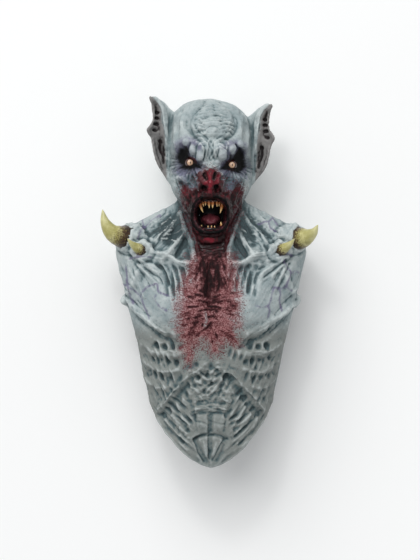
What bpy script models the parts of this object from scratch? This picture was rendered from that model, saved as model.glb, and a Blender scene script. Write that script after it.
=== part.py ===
"""A vampire mask with a chest piece, lying on its back.

One thick latex skin covers the head, the shoulders, the chest and the upper back. It is hollow, open
below and at the sides, with a closed mouth lining. Domed eyes, two gum bars with fangs and four
shoulder horns are cast on their own and glued into seats in the skin.

Frame: +Z points up, out of the face. +Y runs from the chest towards the crown. +X is to the right of
someone who looks down on the mask. The floor is Z = 0.
"""

import math

import bmesh
import bpy
import numpy as np
from mathutils import Matrix, Vector

# Driving sizes, in metres
HEIGHT = 0.814  # from the chest's lower tip to the tips of the ears
WALL = 0.0045  # latex skin
CARVING_DEPTH = 0.0065  # the deepest furrow of the chest, and how much thicker its front is cast
FIT = 0.0005  # gap between a glued-in piece and its seat
MOUTH_WIDTH = 0.070
MOUTH_HEIGHT = 0.068
MOUTH_DEPTH = 0.044
EYE_RADIUS = 0.0115
EYE_BACK = 0.001  # how far the flat back of an eye lies behind its centre
GUM_RADIUS = 0.0042
LARGE_HORN_RADIUS = 0.027
SMALL_HORN_RADIUS = 0.0145
EAR_THICKNESS = 0.020
FLAP_LENGTH = 0.265  # back flap, below the shoulders
FLAP_CORNER = 0.075  # rounding of the back flap's lower corners
FLAP_SIDE = 0.042  # height above the floor of the back flap's side edges
APRON_SIDE = 0.124  # height above the floor of the chest's side edges
SEAT_DEPTH = 0.003  # how much of the back is pressed flat where the mask rests

# The carving's places and sizes are shares of the height, about a millimetre each
SHARE = HEIGHT / 814
STEEPEST = 2.4  # a wall square to a steep slope counts at most this much longer across
SHOULDER_LINE = 466  # where the arm openings end, in shares above the lower tip
MIRRORED = (-1, 1)

# Fineness of the model, in metres and triangles
BLANK_VOXEL = 3.4 * SHARE
SKIN_TRIANGLES = 5300
SMOOTHING_STEPS = 8
FACE_CARE = 0.006  # how much longer the thinning keeps an edge of the face than one of the chest
FACE_WEIGHT = 0.3  # the face's share of the thinning, where the chest's is 1

# Sections along Y: place, half width, back, front
SKULL = [
    (477, 9, 120, 168),
    (484, 29, 96, 206),
    (500, 42, 78, 221),
    (530, 51, 58, 228),
    (560, 60, 44, 229),
    (585, 73, 26, 230),
    (605, 85, 14, 230),
    (625, 90, 6, 228),
    (665, 91, -3, 226),
    (705, 91, -3, 224),
    (740, 89, 4, 217),
    (768, 82, 20, 202),
    (788, 69, 42, 180),
    (801, 48, 66, 155),
    (809, 20, 90, 128),
    (811, 6, 104, 116),
]
TORSO = [
    (-50, 104, 14, 184),
    (0, 115, 10, 198),
    (45, 124, 7, 210),
    (85, 129, 4, 218),
    (118, 132, 2, 222),
    (150, 138, 0, 224),
    (193, 148, -1, 228),
    (232, 156, -2, 232),
    (270, 163, -3, 236),
    (310, 173, -3, 240),
    (350, 184, -2, 242),
    (385, 191, 0, 241),
    (421, 200, 4, 235),
    (450, 207, 8, 226),
    (475, 212, 14, 214),
    (492, 211, 20, 202),
    (510, 203, 27, 188),
    (528, 184, 34, 172),
    (542, 157, 39, 160),
    (556, 128, 44, 152),
    (570, 99, 48, 148),
    (585, 74, 50, 146),
    (604, 62, 46, 150),
    (640, 58, 44, 150),
]
THROAT = [
    (425, 22, 90, 176),
    (449, 34, 74, 186),
    (475, 42, 62, 186),
    (510, 49, 52, 188),
    (560, 57, 44, 184),
    (620, 60, 42, 176),
]
FACE_LINING = 186  # the hollow for the wearer's face ends here
MOUTH_LINING = 178  # and here behind the mouth
MOUTH_LEVEL = 600  # the mouth lining ends at this height
MOUTH_RIM, MOUTH_SLOPE = 1.04, 0.3  # where the mouth's recess starts and how wide its slope is
CLEAR = HEIGHT * 0.06  # how far a trimming block reaches past what it trims
SNOUT_TOP = 262  # the highest place of the mask

# Outline of the chest's lower end, as half widths at their heights above the tip
APRON_OUTLINE = [
    (158, 196),
    (140, 155),
    (132, 130),
    (121, 107),
    (99, 75),
    (73, 43),
    (46, 19),
    (20, 5),
    (3, 0),
]

# One ear's outline, across and up, from its root below to its root above
EAR_OUTLINE = [
    (72, 628),
    (90, 620),
    (103, 636),
    (115, 652),
    (123, 668),
    (128, 692),
    (132, 714),
    (141, 729),
    (131, 743),
    (126, 765),
    (130, 787),
    (135, 808),
    (118, 803),
    (101, 793),
    (88, 780),
    (72, 766),
]
EAR_FRONT = 132  # the ear's front face, above the floor
EAR_CUP = 26  # how far its outer edge comes forward

# The left side of the head sits lower, and its right side higher, by this slope
LEAN = 0.066
LEAN_FROM, LEAN_TO = 600, 680

EYE_PLACE = (45.5, 662, 200.5)
MOUTH_PLACE = (0.0, 552.0)
SNOUT = ((0, 620, 216), (36, 38, 42))

# Horns: centre line from the root to the tip, for a viewer who looks down
LARGE_HORN_LEFT = [(-180, 503, 156), (-199, 505, 170), (-217, 514, 182), (-230, 533, 189), (-237, 563, 192)]
LARGE_HORN_RIGHT = [(184, 500, 156), (199, 501, 174), (212, 505, 192), (224, 514, 206), (232, 529, 216)]
SMALL_HORN = [(149, 473, 186), (157, 477, 201), (166, 483, 212), (174, 490, 221), (181, 499, 227)]
HORN_BOSSES = [((177, 500, 152), (35, 32, 36)), ((150, 472, 180), (22, 19, 25))]
SIDE_KNOB = ((187, 364, 122), (11, 13, 12))

# Fangs: across, length and root radius, in shares
UPPER_FANGS = [(-22, 25, 5.4), (-14, 15, 3.6), (-6, 18, 4.4), (3, 19, 4.4), (11.5, 16, 3.8), (21, 27, 5.6)]
LOWER_FANGS = [(-20, 10, 3.2), (-6, 9, 2.8), (1.5, 9, 2.8), (9, 9, 2.8), (22, 14, 4.2)]
UPPER_GUM_HEIGHT, LOWER_GUM_HEIGHT = 582, 520
GUM_REACH = 27  # half width of a gum bar
GUM_FRONT, GUM_BACK = 220, 200  # a gum bar's middle and its ends, above the floor


def smooth_rows(rows, at):
    """The rows' other columns, read at places along the first one with a smooth curve through them."""
    rows = np.array(rows, float)
    key, values = rows[:, 0], rows[:, 1:]
    at = np.clip(np.asarray(at, float), key[0], key[-1])
    slope = np.gradient(values, key, axis=0)
    span = np.clip(np.searchsorted(key, at) - 1, 0, len(key) - 2)
    step = (key[span + 1] - key[span])[:, None]
    t = (at[:, None] - key[span][:, None]) / step
    start, end = values[span], values[span + 1]
    return (
        (2 * t**3 - 3 * t**2 + 1) * start
        + (t**3 - 2 * t**2 + t) * slope[span] * step
        + (3 * t**2 - 2 * t**3) * end
        + (t**3 - t**2) * slope[span + 1] * step
    )


def smooth_route(points, count):
    """Evenly spaced places on a smooth line through the points."""
    points = np.array(points, float)
    run = np.concatenate([[0], np.cumsum(np.linalg.norm(np.diff(points, axis=0), axis=1))])
    return smooth_rows(np.column_stack([run, points]), np.linspace(0, run[-1], count))


def new_object(name, mesh, collection):
    obj = bpy.data.objects.new(name, mesh)
    collection.objects.link(obj)
    return obj


def mesh_from(bm, name):
    """A mesh of the edited shape, with its faces turned outwards."""
    bmesh.ops.recalc_face_normals(bm, faces=bm.faces)
    mesh = bpy.data.meshes.new(name)
    bm.to_mesh(mesh)
    bm.free()
    return mesh


def applied(obj):
    """The object's mesh with its modifiers applied. The object is removed."""
    bpy.context.view_layer.update()
    graph = bpy.context.evaluated_depsgraph_get()
    mesh = bpy.data.meshes.new_from_object(obj.evaluated_get(graph))
    mesh.transform(obj.matrix_world)
    bpy.data.objects.remove(obj)
    return mesh


def places_of(mesh):
    """The mesh's vertices, in metres."""
    places = np.empty(len(mesh.vertices) * 3)
    mesh.vertices.foreach_get("co", places)
    return places.reshape(-1, 3)


def set_places(mesh, places):
    mesh.vertices.foreach_set("co", places.ravel())
    mesh.update()


def inset(stations, depth):
    """The same form, smaller by a depth in metres, measured square to its surface where that slopes."""
    rows = np.array(stations, float)
    slope = np.abs(np.gradient(rows[:, 1:], rows[:, 0], axis=0))
    step = depth / SHARE * np.minimum(np.hypot(1, slope), STEEPEST)
    middle, half_depth = rows[:, 2:].mean(axis=1), (rows[:, 3] - rows[:, 2]) / 2
    rows[:, 0] -= depth / SHARE
    rows[:, 1] = np.maximum(rows[:, 1] - step[:, 0], 2)
    rows[:, 2] = middle - np.maximum(half_depth - step[:, 1], 2)
    rows[:, 3] = middle + np.maximum(half_depth - step[:, 2], 2)
    return [tuple(row) for row in rows]


def sectioned(name, stations, rings=56, sides=56, squareness=2.2):
    """A closed body with rounded sections, each with its own half width, back and front."""
    bm = bmesh.new()
    bmesh.ops.create_cone(bm, cap_ends=True, segments=sides, radius1=1, radius2=1, depth=1)
    lengthwise = [e for e in bm.edges if abs(e.verts[0].co.z - e.verts[1].co.z) > 0.5]
    bmesh.ops.subdivide_edges(bm, edges=lengthwise, cuts=rings - 1, use_grid_fill=True)
    heights = np.linspace(stations[0][0], stations[-1][0], rings + 1)
    rows = smooth_rows(stations, heights)
    for v in bm.verts:
        ring = round((v.co.z + 0.5) * rings)
        half_width, back, front = rows[ring]
        turn = math.atan2(v.co.y, v.co.x)
        across = math.copysign(abs(math.cos(turn)) ** (2 / squareness), math.cos(turn))
        rise = math.copysign(abs(math.sin(turn)) ** (2 / squareness), math.sin(turn))
        depth = (front + back) / 2 + (front - back) / 2 * rise
        v.co = Vector((half_width * across, heights[ring], depth)) * SHARE
    return mesh_from(bm, name)


def ball(name, centre, radii, detail=24):
    """An egg shape with its own radius along each axis."""
    bm = bmesh.new()
    bmesh.ops.create_uvsphere(bm, u_segments=detail, v_segments=detail // 2, radius=1)
    place = Matrix.Translation(Vector(centre)) @ Matrix.Diagonal((*radii, 1))
    bmesh.ops.transform(bm, matrix=Matrix.Scale(SHARE, 4) @ place, verts=bm.verts)
    return mesh_from(bm, name)


def outline_slab(name, outline, low, high, collection):
    """A flat outline in shares, given thickness between two heights in metres, as a mesh."""
    curve = bpy.data.curves.new(name, "CURVE")
    curve.dimensions = "2D"
    curve.fill_mode = "BOTH"
    curve.extrude = (high - low) / 2
    spline = curve.splines.new("POLY")
    spline.points.add(len(outline) - 1)
    for point, (x, y) in zip(spline.points, outline):
        point.co = (x * SHARE, y * SHARE, 0, 1)
    spline.use_cyclic_u = True
    slab = new_object(name, curve, collection)
    slab.location.z = (low + high) / 2
    mesh = applied(slab)
    bm = bmesh.new()
    bm.from_mesh(mesh)
    bmesh.ops.remove_doubles(bm, verts=bm.verts, dist=1e-6)
    return mesh_from(bm, name)


def ear(name, side, collection):
    """One pointed ear, a thick leaf whose outer edge cups forward."""
    outline = [(x * side, y) for x, y in smooth_route(EAR_OUTLINE, 44)]
    front = EAR_FRONT * SHARE
    leaf = outline_slab(name, outline, front - EAR_THICKNESS, front, collection)
    bm = bmesh.new()
    bm.from_mesh(leaf)
    for cut in range(76, 141, 8):
        bmesh.ops.bisect_plane(
            bm,
            geom=bm.verts[:] + bm.edges[:] + bm.faces[:],
            plane_co=(cut * side * SHARE, 0, 0),
            plane_no=(1, 0, 0),
        )
    for v in bm.verts:
        out = max(abs(v.co.x) / SHARE - 84, 0) / 56
        v.co.z += EAR_CUP * SHARE * out**2
    return mesh_from(bm, name)


def fused(name, blanks, collection):
    """All blanks grown together into one closed skin of even squares."""
    bm = bmesh.new()
    for blank in blanks:
        bm.from_mesh(blank)
    block = new_object(name, mesh_from(bm, name), collection)
    remesh = block.modifiers.new("Fuse", "REMESH")
    remesh.mode = "VOXEL"
    remesh.voxel_size = BLANK_VOXEL
    smooth = block.modifiers.new("Soften", "SMOOTH")
    smooth.factor = 0.5
    smooth.iterations = SMOOTHING_STEPS
    return applied(block)


def falloff(distance, reach):
    """1 at no distance, falling to 0 at the reach, as a crest or a furrow with a soft edge."""
    return (1 - np.clip(distance / reach, 0, 1)) ** 1.5


def step_up(value, low, high):
    """0 below low, 1 above high, and smooth between them."""
    t = np.clip((value - low) / (high - low), 0, 1)
    return t * t * (3 - 2 * t)


def gap_to(route, across, up):
    """Each place's distance to a smooth line through the route's points, in shares."""
    line = smooth_route(route, 4 * len(route))
    nearest = np.full(len(across), np.inf)
    for (ax, ay), (bx, by) in zip(line[:-1], line[1:]):
        dx, dy = bx - ax, by - ay
        t = np.clip(((across - ax) * dx + (up - ay) * dy) / (dx * dx + dy * dy + 1e-9), 0, 1)
        nearest = np.minimum(nearest, np.hypot(across - ax - t * dx, up - ay - t * dy))
    return nearest


def mound(across, up, centre, radii):
    """A smooth hump over an ellipse: 1 in its middle and 0 at its edge."""
    share = np.hypot((across - centre[0]) / radii[0], (up - centre[1]) / radii[1])
    return (1 - np.clip(share, 0, 1) ** 2) ** 2


# Lines of the carving: reach, height and route, mirrored to both sides
BODY_LINES = [
    (15, 12, [(66, 556), (52, 520), (43, 487), (36, 458)]),  # neck tendon
    (12, 8, [(66, 553), (90, 527), (116, 500)]),  # strap to the shoulder
    (12, 11, [(54, 522), (70, 491), (88, 473), (98, 463)]),  # strap to the collarbone
    (14, 11, [(40, 442), (68, 447), (98, 462), (120, 469), (140, 482)]),  # collarbone
    (20, -13, [(54, 500), (66, 474), (62, 462)]),  # hollow behind the collarbone
    (18, -10, [(80, 512), (98, 492), (112, 480)]),  # hollow between the straps
    (16, -8, [(84, 545), (108, 528), (126, 508)]),  # hollow above the shoulder strap
    (14, -9, [(84, 272), (104, 281), (130, 301), (160, 322), (186, 341)]),  # fold under the breast
    (14, 8, [(78, 292), (104, 300), (130, 321), (160, 342), (188, 362)]),  # roll above it
    (13, 8, [(150, 452), (158, 424), (172, 396), (190, 372)]),  # band down the front of the arm
    (13, 9, [(14, 226), (45, 205), (70, 178), (100, 142), (112, 126)]),  # edge of the rib cage
    (13, -9, [(36, 196), (60, 170), (88, 136), (104, 116)]),  # groove below that edge
    (12, 7, [(62, 249), (90, 247), (125, 255), (150, 270)]),  # upper rib
    (11, 6, [(72, 216), (95, 209), (125, 217), (148, 234)]),  # middle rib
    (10, 6, [(88, 178), (110, 173), (140, 190)]),  # lower rib
]
FACE_LINES = [
    (16, 9, [(12, 691), (34, 706), (58, 709), (78, 698)]),  # brow
    (11, 8, [(18, 700), (23, 684), (22, 668)]),  # inner brow pad
    (11, 9, [(44, 714), (42, 696), (37, 684)]),  # middle brow pad
    (9, 6, [(60, 714), (62, 704)]),  # outer brow pad
    (11, -6, [(53, 764), (53, 744), (42, 724), (20, 705)]),  # groove around the forehead plate
    (15, 10, [(30, 641), (54, 637), (76, 630)]),  # cheekbone
    (11, -11, [(66, 622), (58, 600), (48, 574)]),  # furrow from the cheek to the mouth
    (8, -7, [(32, 640), (27, 624), (22, 608)]),  # furrow beside the nose
    (10, -6, [(82, 775), (77, 735), (76, 700)]),  # fold in front of the ear
    (10, 6, [(72, 778), (66, 740), (70, 706)]),  # roll in front of that fold
]


def carved_face(x, y):
    """Height of the face's carving in shares, straight out of the face."""
    across = np.abs(x)
    out = 5 * mound(across, y, (0, 750), (50, 50))
    out += 9 * mound(across, y, (20, 693), (46, 28))
    out -= 10 * mound(across, y, (50, 668), (36, 26))
    out += 5 * falloff(np.abs(np.hypot((across - 46) / 1.25, y - 662) - 11.5), 6)
    out -= 5 * mound(across, y, (62, 690), (16, 18))
    out += 9 * mound(across, y, (58, 628), (26, 16))
    out += 8 * mound(across, y, (24, 612), (14, 16))
    out -= 13 * mound(across, y, (11, 636), (7, 10))
    out -= 13 * mound(across, y, (13, 606), (8, 8))
    out += 6 * falloff(gap_to([(0, 652), (0, 625), (0, 600)], across, y), 7)
    for reach, height, route in FACE_LINES:
        out += height * falloff(gap_to(route, across, y), reach)
    for wrinkle in range(5):
        level = 768 - 12 * wrinkle
        out -= 2.5 * falloff(gap_to([(0, level - 3), (18, level), (36, level - 4)], across, y), 5)
    return out


def mouth_reach(x, y):
    """Distance from the mouth's centre as a share of its half size: 1 on the lips' inner edge."""
    return np.hypot(
        (x - MOUTH_PLACE[0]) * SHARE / (MOUTH_WIDTH / 2), (y - MOUTH_PLACE[1]) * SHARE / (MOUTH_HEIGHT / 2)
    )


def carved_mouth(x, y):
    """Lips, the recess behind them and the tongue, in shares straight out of the face."""
    reach = mouth_reach(x, y)
    recess = MOUTH_DEPTH / SHARE * step_up(MOUTH_RIM - reach, 0, MOUTH_SLOPE)
    tongue = 24 * mound(x, y, (0, 535), (25, 20)) - 5 * mound(x, y, (0, 540), (5, 16))
    lips = 7 * falloff(np.abs(reach - 1.16), 0.24)
    return lips - recess + tongue * step_up(1.0 - reach, 0, 0.25)


def carved_ear(across, y):
    """The ear's rolled front rim, its bowl and the row of pits near its outer edge, in shares."""
    out = 11 * falloff(gap_to([(130, 802), (114, 788), (105, 760), (102, 732), (100, 700)], across, y), 14)
    out += 6 * falloff(gap_to([(141, 729), (131, 743), (127, 765), (131, 790)], across, y), 7)
    out += 6 * falloff(gap_to([(141, 729), (130, 708), (125, 680), (113, 652)], across, y), 8)
    out -= 9 * falloff(gap_to([(124, 786), (118, 760), (118, 738)], across, y), 10)
    out -= 13 * mound(across, y, (108, 692), (14, 34))
    for pit in range(4):
        out -= 6 * mound(across, y, (121 + pit, 774 - 14 * pit), (7, 6))
    return out


def carved_body(x, y):
    """Height of the chest's carving in shares, square to the skin."""
    across = np.abs(x)
    out = 8 * mound(across, y, (92, 348), (76, 64))
    out -= 7 * mound(across, y, (0, 390), (26, 90))
    out -= 7 * mound(across, y, (0, 180), (62, 70))
    out += 5 * mound(across, y, (18, 96), (24, 24))
    for reach, height, route in BODY_LINES:
        out += height * falloff(gap_to(route, across, y), reach)
    for fibre in range(5):  # breast fibres fanning down from the collarbone
        top, foot = 48 + 17 * fibre, 42 + 13 * fibre
        out -= 7 * falloff(gap_to([(top, 434 + 3 * fibre), (foot + 2, 405), (foot, 378)], across, y), 9)
    for pit in range(4):  # hollows between the ribs
        out -= 8 * mound(across, y, (66 + 19 * pit, 263 + pit), (9, 10))
        out -= 7 * mound(across, y, (76 + 18 * pit, 230 + pit * pit), (9, 12))
        out -= 6 * mound(across, y, (92 + 16 * pit, 195 + 3 * pit), (8, 11))
    for muscle in range(5):  # slanting belly muscles
        start, level = 60 + 13 * muscle, 168 - 14 * muscle
        route = [(start, level), (start - 14, level - 28), (36 + 7 * muscle, level - 58)]
        out -= 7 * falloff(gap_to(route, across, y), 8)
    for fold in range(5):  # folds across the upper belly
        level = 210 - 20 * fold
        out += 6 * falloff(gap_to([(0, level), (16, level + 5), (34, level - 4)], across, y), 9)
    out -= 7 * falloff(gap_to([(0, 118), (0, 20)], across, y), 7)
    out -= 7 * falloff(gap_to([(0, 76), (20, 72), (36, 62)], across, y), 7)
    out -= 6 * falloff(gap_to([(34, 64), (24, 38), (10, 14)], across, y), 7)
    return np.maximum(out, -CARVING_DEPTH / SHARE)


def lean_down(x, y):
    """How far a place sinks because the head leans to one side, in shares."""
    return LEAN * x * step_up(y, LEAN_FROM, LEAN_TO)


def carve(mesh):
    """Moves the skin's vertices into the carved shape."""
    places = places_of(mesh)
    facing = np.empty(len(mesh.vertices) * 3)
    mesh.vertices.foreach_get("normal", facing)
    facing = facing.reshape(-1, 3)
    x, y, z = (places / SHARE).T
    front = step_up(facing[:, 2], 0.1, 0.55)
    on_ear = step_up(np.abs(x), 91, 97) * step_up(y, 612, 630)
    on_face = step_up(z, 120, 150) * step_up(y, 590, 606) * (1 - on_ear)
    on_mouth = step_up(z, 150, 175) * step_up(y, 488, 500) * (1 - step_up(y, 600, 612))
    on_body = (1 - step_up(y, 548, 566)) * step_up(z, 95, 120)
    on_body *= 1 - step_up(z, 205, 215) * step_up(y, 470, 482)
    straight = on_face * carved_face(x, y) + on_mouth * carved_mouth(x, y)
    straight += on_ear * carved_ear(np.abs(x), y)
    places[:, 2] += SHARE * front * straight
    places += SHARE * (front * on_body * carved_body(x, y))[:, None] * facing
    places[:, 1] -= SHARE * lean_down(x, y)
    set_places(mesh, places)


def thinned(name, mesh, triangles, collection):
    """The same shape in fewer triangles, which stay smallest on the face and the ears."""
    mesh.calc_loop_triangles()
    obj = new_object(name, mesh, collection)
    x, y, z = (places_of(mesh) / SHARE).T
    plain = 1 - (1 - FACE_WEIGHT) * step_up(y, 490, 520) * step_up(z, 90, 130)
    group = obj.vertex_groups.new(name="plain")
    for index in range(len(mesh.vertices)):
        group.add([index], float(plain[index]), "REPLACE")
    soften = obj.modifiers.new("Soften", "SMOOTH")
    soften.iterations = 2
    thin = obj.modifiers.new("Thin", "DECIMATE")
    thin.ratio = triangles / len(mesh.loop_triangles)
    thin.vertex_group = group.name
    thin.vertex_group_factor = FACE_CARE
    return applied(obj)


def press_flat(mesh):
    """Flattens the back of the head and of the flap onto the floor, where the mask rests."""
    places = places_of(mesh)
    places[places[:, 2] < SEAT_DEPTH, 2] = 0
    set_places(mesh, places)


def cut(obj, cutter):
    """Cuts the cutter out of the object, for good."""
    step = obj.modifiers.new("Cut", "BOOLEAN")
    step.operation = "DIFFERENCE"
    step.object = cutter
    bpy.context.view_layer.update()
    graph = bpy.context.evaluated_depsgraph_get()
    mesh = bpy.data.meshes.new_from_object(obj.evaluated_get(graph))
    obj.modifiers.clear()
    obj.data = mesh


def hollows():
    """The wearer's space: head, neck and chest, each one wall inside the outer form."""
    lowest = WALL + SEAT_DEPTH
    head = sectioned("head_hollow", inset(SKULL, WALL), rings=13, sides=18)
    places = places_of(head)
    lining = np.where(places[:, 1] < MOUTH_LEVEL * SHARE, MOUTH_LINING, FACE_LINING) * SHARE
    places[:, 2] = np.clip(places[:, 2], lowest, lining)
    set_places(head, places)
    body = inset(TORSO, WALL)
    below = (-90, *body[0][1:])
    chest = sectioned("chest_hollow", [below, *body[1:]], rings=18, sides=22)
    places = places_of(chest)
    places[:, 2] -= CARVING_DEPTH * step_up(places[:, 2] / SHARE, 110, 190)
    places[:, 2] = np.maximum(places[:, 2], lowest)
    set_places(chest, places)
    neck = sectioned("neck_hollow", inset(THROAT[1:], WALL), rings=4, sides=16)
    centre, radii = SNOUT
    wall = 2 * WALL / SHARE
    snout = ball("snout_hollow", centre, [r - wall for r in radii], detail=12)
    return [head, chest, neck, snout]


def side_opening(name, collection):
    """The space of the arm openings and of everything below the back flap, as one long block."""
    flap_end = SHOULDER_LINE * SHARE - FLAP_LENGTH
    top = SHOULDER_LINE * SHARE
    low, high, half_round = FLAP_SIDE, APRON_SIDE, (APRON_SIDE - FLAP_SIDE) / 2
    bottom = -4 * CLEAR
    profile = [(bottom, high), (bottom, -CLEAR), (flap_end, -CLEAR), (flap_end, low)]
    middle = (low + high) / 2
    for step in range(9):
        turn = math.radians(-90 + 180 * step / 8)
        profile.append((top - half_round + half_round * math.cos(turn), middle + half_round * math.sin(turn)))
    bm = bmesh.new()
    half_width = HEIGHT * 0.3 + CLEAR
    loop = [bm.verts.new((-half_width, y, z)) for y, z in profile]
    face = bm.faces.new(loop)
    swept = bmesh.ops.extrude_face_region(bm, geom=[face])
    moved = [v for v in swept["geom"] if isinstance(v, bmesh.types.BMVert)]
    bmesh.ops.translate(bm, verts=moved, vec=(2 * half_width, 0, 0))
    return new_object(name, mesh_from(bm, name), collection)


def below_outline(name, half_outline, low, high, collection):
    """A block with the outline's lower end taken out of it, which trims what hangs below."""
    far, deep = 300, -200
    right = [(x, y) for x, y in half_outline]
    left = [(-x, y) for x, y in reversed(half_outline)]
    top = half_outline[0][1]
    outline = [(far, top), *right, *left, (-far, top), (-far, deep), (far, deep)]
    slab = outline_slab(name, outline, low, high, collection)
    return new_object(name, slab, collection)


def flap_outline():
    """Half of the back flap's rounded lower end, from its side down to its middle, in shares."""
    end = (SHOULDER_LINE * SHARE - FLAP_LENGTH) / SHARE
    corner = FLAP_CORNER / SHARE
    half = 150
    points = [(half + 4, end + corner + 60), (half, end + corner)]
    for step in range(1, 7):
        turn = math.radians(90 * step / 6)
        points.append((half - corner * (1 - math.cos(turn)), end + corner - corner * math.sin(turn)))
    return points


def horn(name, route, radius, grow, collection):
    """One curved, tapering horn. With grow it is that much larger all round, as the seat's cutter."""
    line = smooth_route(route, 11) * SHARE
    if grow:
        line[0] -= (line[1] - line[0]) / np.linalg.norm(line[1] - line[0]) * grow
    curve = bpy.data.curves.new(name, "CURVE")
    curve.dimensions = "3D"
    curve.bevel_depth = 1.0
    curve.bevel_resolution = 2
    curve.use_fill_caps = True
    spline = curve.splines.new("POLY")
    spline.points.add(len(line) - 1)
    for index, (point, place) in enumerate(zip(spline.points, line)):
        share = index / (len(line) - 1)
        point.co = (*place, 1)
        point.radius = radius * (1 - share**1.25) ** 0.9 + 0.0008 + grow
    rod = new_object(name, curve, collection)
    bm = bmesh.new()
    bm.from_mesh(applied(rod))
    bmesh.ops.remove_doubles(bm, verts=bm.verts, dist=1e-5)
    return mesh_from(bm, name)


def eye(name, side, grow, collection):
    """A domed eye with a flat back. With grow it is that much larger all round."""
    x, y, z = EYE_PLACE
    radius = EYE_RADIUS + grow
    bm = bmesh.new()
    bmesh.ops.create_uvsphere(bm, u_segments=16, v_segments=10, radius=radius)
    whole = bm.verts[:] + bm.edges[:] + bm.faces[:]
    cut_at = (0, 0, -EYE_BACK - grow)
    bmesh.ops.bisect_plane(bm, geom=whole, plane_co=cut_at, plane_no=(0, 0, -1), clear_outer=True)
    bmesh.ops.holes_fill(bm, edges=[e for e in bm.edges if e.is_boundary])
    sunk = lean_down(np.array([x * side]), np.array([y]))[0]
    place = Vector((x * side, y - sunk, z)) * SHARE
    bmesh.ops.translate(bm, verts=bm.verts, vec=place)
    return mesh_from(bm, name)


def gum_place(across, height):
    """A place on a gum bar's centre line, in metres: the bar bows forward in its middle."""
    bow = 1 - (across / GUM_REACH) ** 2
    return np.array([across, height, GUM_BACK + (GUM_FRONT - GUM_BACK) * bow]) * SHARE


def teeth(name, fangs, height, downwards, grow, collection):
    """A gum bar with its fangs, as one cast piece. With grow it is that much larger all round."""
    curve = bpy.data.curves.new(name, "CURVE")
    curve.dimensions = "3D"
    curve.bevel_depth = GUM_RADIUS + grow
    curve.bevel_resolution = 1
    curve.use_fill_caps = True
    spline = curve.splines.new("POLY")
    stops = np.linspace(-GUM_REACH - grow / SHARE, GUM_REACH + grow / SHARE, 13)
    spline.points.add(len(stops) - 1)
    for point, across in zip(spline.points, stops):
        point.co = (*gum_place(across, height), 1)
    rod = new_object(name, curve, collection)
    bm = bmesh.new()
    bm.from_mesh(applied(rod))
    bmesh.ops.remove_doubles(bm, verts=bm.verts, dist=1e-5)
    bar = new_object(name, mesh_from(bm, name), collection)
    way = -1 if downwards else 1
    cones = bpy.data.collections.new(name + "_fangs")
    for number, (across, length, radius) in enumerate(fangs):
        cone = bmesh.new()
        bmesh.ops.create_cone(
            cone,
            cap_ends=True,
            segments=8,
            radius1=radius * SHARE + grow,
            radius2=0.0004 + grow,
            depth=length * SHARE + grow,
        )
        aim = Vector((0, way, 0.16)).to_track_quat("Z", "Y").to_matrix().to_4x4()
        aim.translation = Vector(gum_place(across, height)) + aim.to_3x3() @ Vector((0, 0, length * SHARE / 2))
        bmesh.ops.transform(cone, matrix=aim, verts=cone.verts)
        new_object(f"{name}_fang_{number}", mesh_from(cone, "fang"), cones)
    join = bar.modifiers.new("Fangs", "BOOLEAN")
    join.operation = "UNION"
    join.operand_type = "COLLECTION"
    join.collection = cones
    mesh = applied(bar)
    for cone in list(cones.objects):
        bpy.data.objects.remove(cone)
    bpy.data.collections.remove(cones)
    return mesh


def material(name, colour, roughness):
    made = bpy.data.materials.new(name)
    made.use_nodes = True
    shader = made.node_tree.nodes["Principled BSDF"]
    shader.inputs["Base Color"].default_value = (*colour, 1)
    shader.inputs["Roughness"].default_value = roughness
    shader.inputs["Metallic"].default_value = 0
    made.diffuse_color = (*colour, 1)
    return made


def clear_scene():
    for obj in list(bpy.data.objects):
        bpy.data.objects.remove(obj)


def glued_pieces(collection, grow):
    """Name and mesh of every piece that sits in a seat of the skin, grown by a gap if asked."""
    pieces = []
    for side, word in ((-1, "left"), (1, "right")):
        large = LARGE_HORN_LEFT if side < 0 else LARGE_HORN_RIGHT
        small = [(x * side, y, z) for x, y, z in SMALL_HORN]
        pieces.append((f"horn_large_{word}", horn("horn", large, LARGE_HORN_RADIUS, grow, collection)))
        pieces.append((f"horn_small_{word}", horn("horn", small, SMALL_HORN_RADIUS, grow, collection)))
        pieces.append((f"eye_{word}", eye("eye", side, grow, collection)))
    upper = teeth("teeth", UPPER_FANGS, UPPER_GUM_HEIGHT, True, grow, collection)
    lower = teeth("teeth", LOWER_FANGS, LOWER_GUM_HEIGHT, False, grow, collection)
    return pieces + [("teeth_upper", upper), ("teeth_lower", lower)]


def skin(collection, helpers):
    """The latex skin: fused, carved, hollowed, trimmed and given its seats."""
    blanks = [sectioned("skull", SKULL), sectioned("torso", TORSO, rings=80), sectioned("throat", THROAT)]
    blanks.append(ball("snout", *SNOUT))
    for side in MIRRORED:
        blanks.append(ear("ear", side, helpers))
        for (x, y, z), radii in [*HORN_BOSSES, SIDE_KNOB]:
            blanks.append(ball("boss", (x * side, y, z), radii))
    mesh = fused("blank", blanks, helpers)
    carve(mesh)
    mesh = thinned("thin", mesh, SKIN_TRIANGLES, helpers)
    press_flat(mesh)
    made = new_object("mask_skin", mesh, collection)
    cutters = [new_object(hollow.name, hollow, helpers) for hollow in hollows()]
    cutters.append(side_opening("arm_openings", helpers))
    above, split = SNOUT_TOP * SHARE + CLEAR, (FLAP_SIDE + APRON_SIDE) / 2
    cutters.append(below_outline("chest_trim", APRON_OUTLINE, split, above, helpers))
    cutters.append(below_outline("flap_trim", flap_outline(), -CLEAR, split, helpers))
    for name, seat in glued_pieces(helpers, FIT):
        cutters.append(new_object(name + "_seat", seat, helpers))
    for cutter in cutters:
        cutter.hide_render = True
        cutter.display_type = "WIRE"
        cut(made, cutter)
    for cutter in cutters:
        bpy.data.objects.remove(cutter)
    return made


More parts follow.
